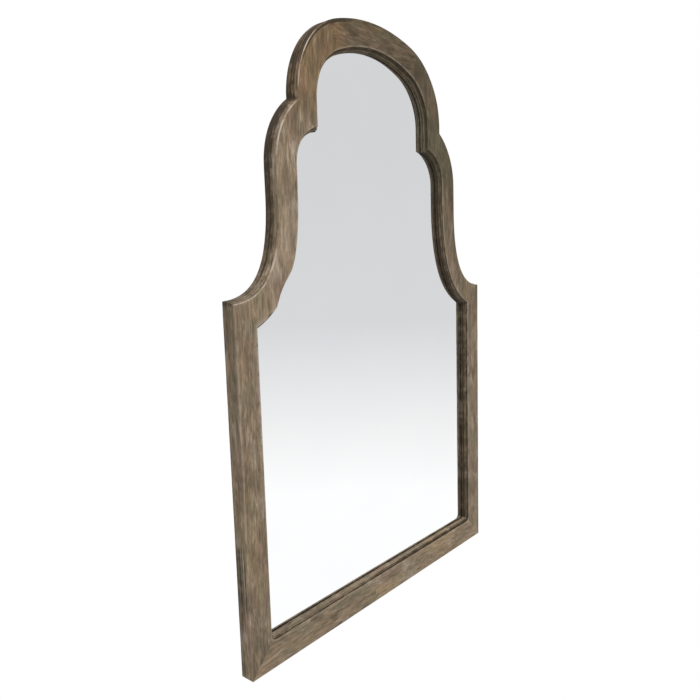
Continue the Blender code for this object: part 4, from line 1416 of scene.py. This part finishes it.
def set_up(name, made, right_way, up_way, away, place):
    """Put a camera or lamp in the scene: its right, its up, the way it looks away from, and its place."""
    held = bpy.data.objects.new(name, made)
    turned = np.eye(4)
    turned[:3] = np.column_stack((right_way, up_way, away, place))
    held.matrix_world = Matrix(turned.tolist())
    bpy.context.scene.collection.objects.link(held)
    return held


ahead = np.array((
    math.sin(camera_heading) * math.cos(camera_pitch),
    math.cos(camera_heading) * math.cos(camera_pitch),
    math.sin(camera_pitch),
))
level = np.array((math.cos(camera_heading), -math.sin(camera_heading), 0))
upward = np.cross(level, ahead)
right_way = math.cos(camera_roll) * level + math.sin(camera_roll) * upward
up_way = math.cos(camera_roll) * upward - math.sin(camera_roll) * level
view = bpy.data.cameras.new("view")
view.sensor_width = sensor_width
view.lens = focal_pixels * sensor_width / image_pixels
bpy.context.scene.camera = set_up("view", view, right_way, up_way, -ahead, camera_place)
bpy.context.scene.view_settings.view_transform = "Standard"

# The room by the height that is looked toward: the mirror reflects a pale wall over a brighter floor, the
# wood is lit by one even grey, and the camera sees white
room_light = 0.62
world = bpy.data.worlds.new("room")
bpy.context.scene.world = world
world.use_nodes = True
tree = world.node_tree
tree.nodes.clear()
height = axes_of(tree, put(tree, "ShaderNodeTexCoord").outputs["Generated"])["Z"]
low_settings = {"Value": height, "From Min": -0.335, "From Max": -0.085, "To Min": 0.330, "To Max": 0.0}
near_floor = put(tree, "ShaderNodeMapRange", low_settings).outputs["Result"]
seen = sum_of(tree, "ADD", near_floor, between(tree, height, -0.08, 0.20, 0.728, 0.700))
rays = put(tree, "ShaderNodeLightPath").outputs
reflected = {0: rays["Is Glossy Ray"], 2: room_light, 3: seen}
room = put(tree, "ShaderNodeMix", reflected, data_type="FLOAT").outputs[0]
direct = {0: rays["Is Camera Ray"], 2: room, 3: 1.0}
brightness = put(tree, "ShaderNodeMix", direct, data_type="FLOAT").outputs[0]
cool = product(tree, between(tree, height, -0.24, -0.12), rays["Is Glossy Ray"])
tint = tinted(tree, cool, (1, 1, 1, 1), (0.990, 0.998, 1.013, 1))
light = put(tree, "ShaderNodeBackground", {"Strength": brightness, "Color": tint})
put(tree, "ShaderNodeOutputWorld", {"Surface": light.outputs[0]})


def lamp(name, place, aim, width, length, power, mirrored):
    """A soft rectangular lamp that looks at a point."""
    made = bpy.data.lights.new(name, "AREA")
    made.shape = "RECTANGLE"
    made.size = width
    made.size_y = length
    made.energy = power
    away = np.array(place) - np.array(aim)
    away = away / np.linalg.norm(away)
    across = np.cross((0, 1, 0) if abs(away[2]) > 0.9 else (0, 0, 1), away)
    across = across / np.linalg.norm(across)
    held = set_up(name, made, across, np.cross(away, across), away, place)
    held.visible_camera = False
    held.visible_glossy = mirrored


lamp("overhead_lamp", (-0.7, -0.9, 2.3), (0, 0, 0.8), 0.8, 0.5, 20, True)
lamp("front_lamp", (0.9, -2.6, 0.9), (0, 0, 0.6), 2.0, 2.0, 18, False)
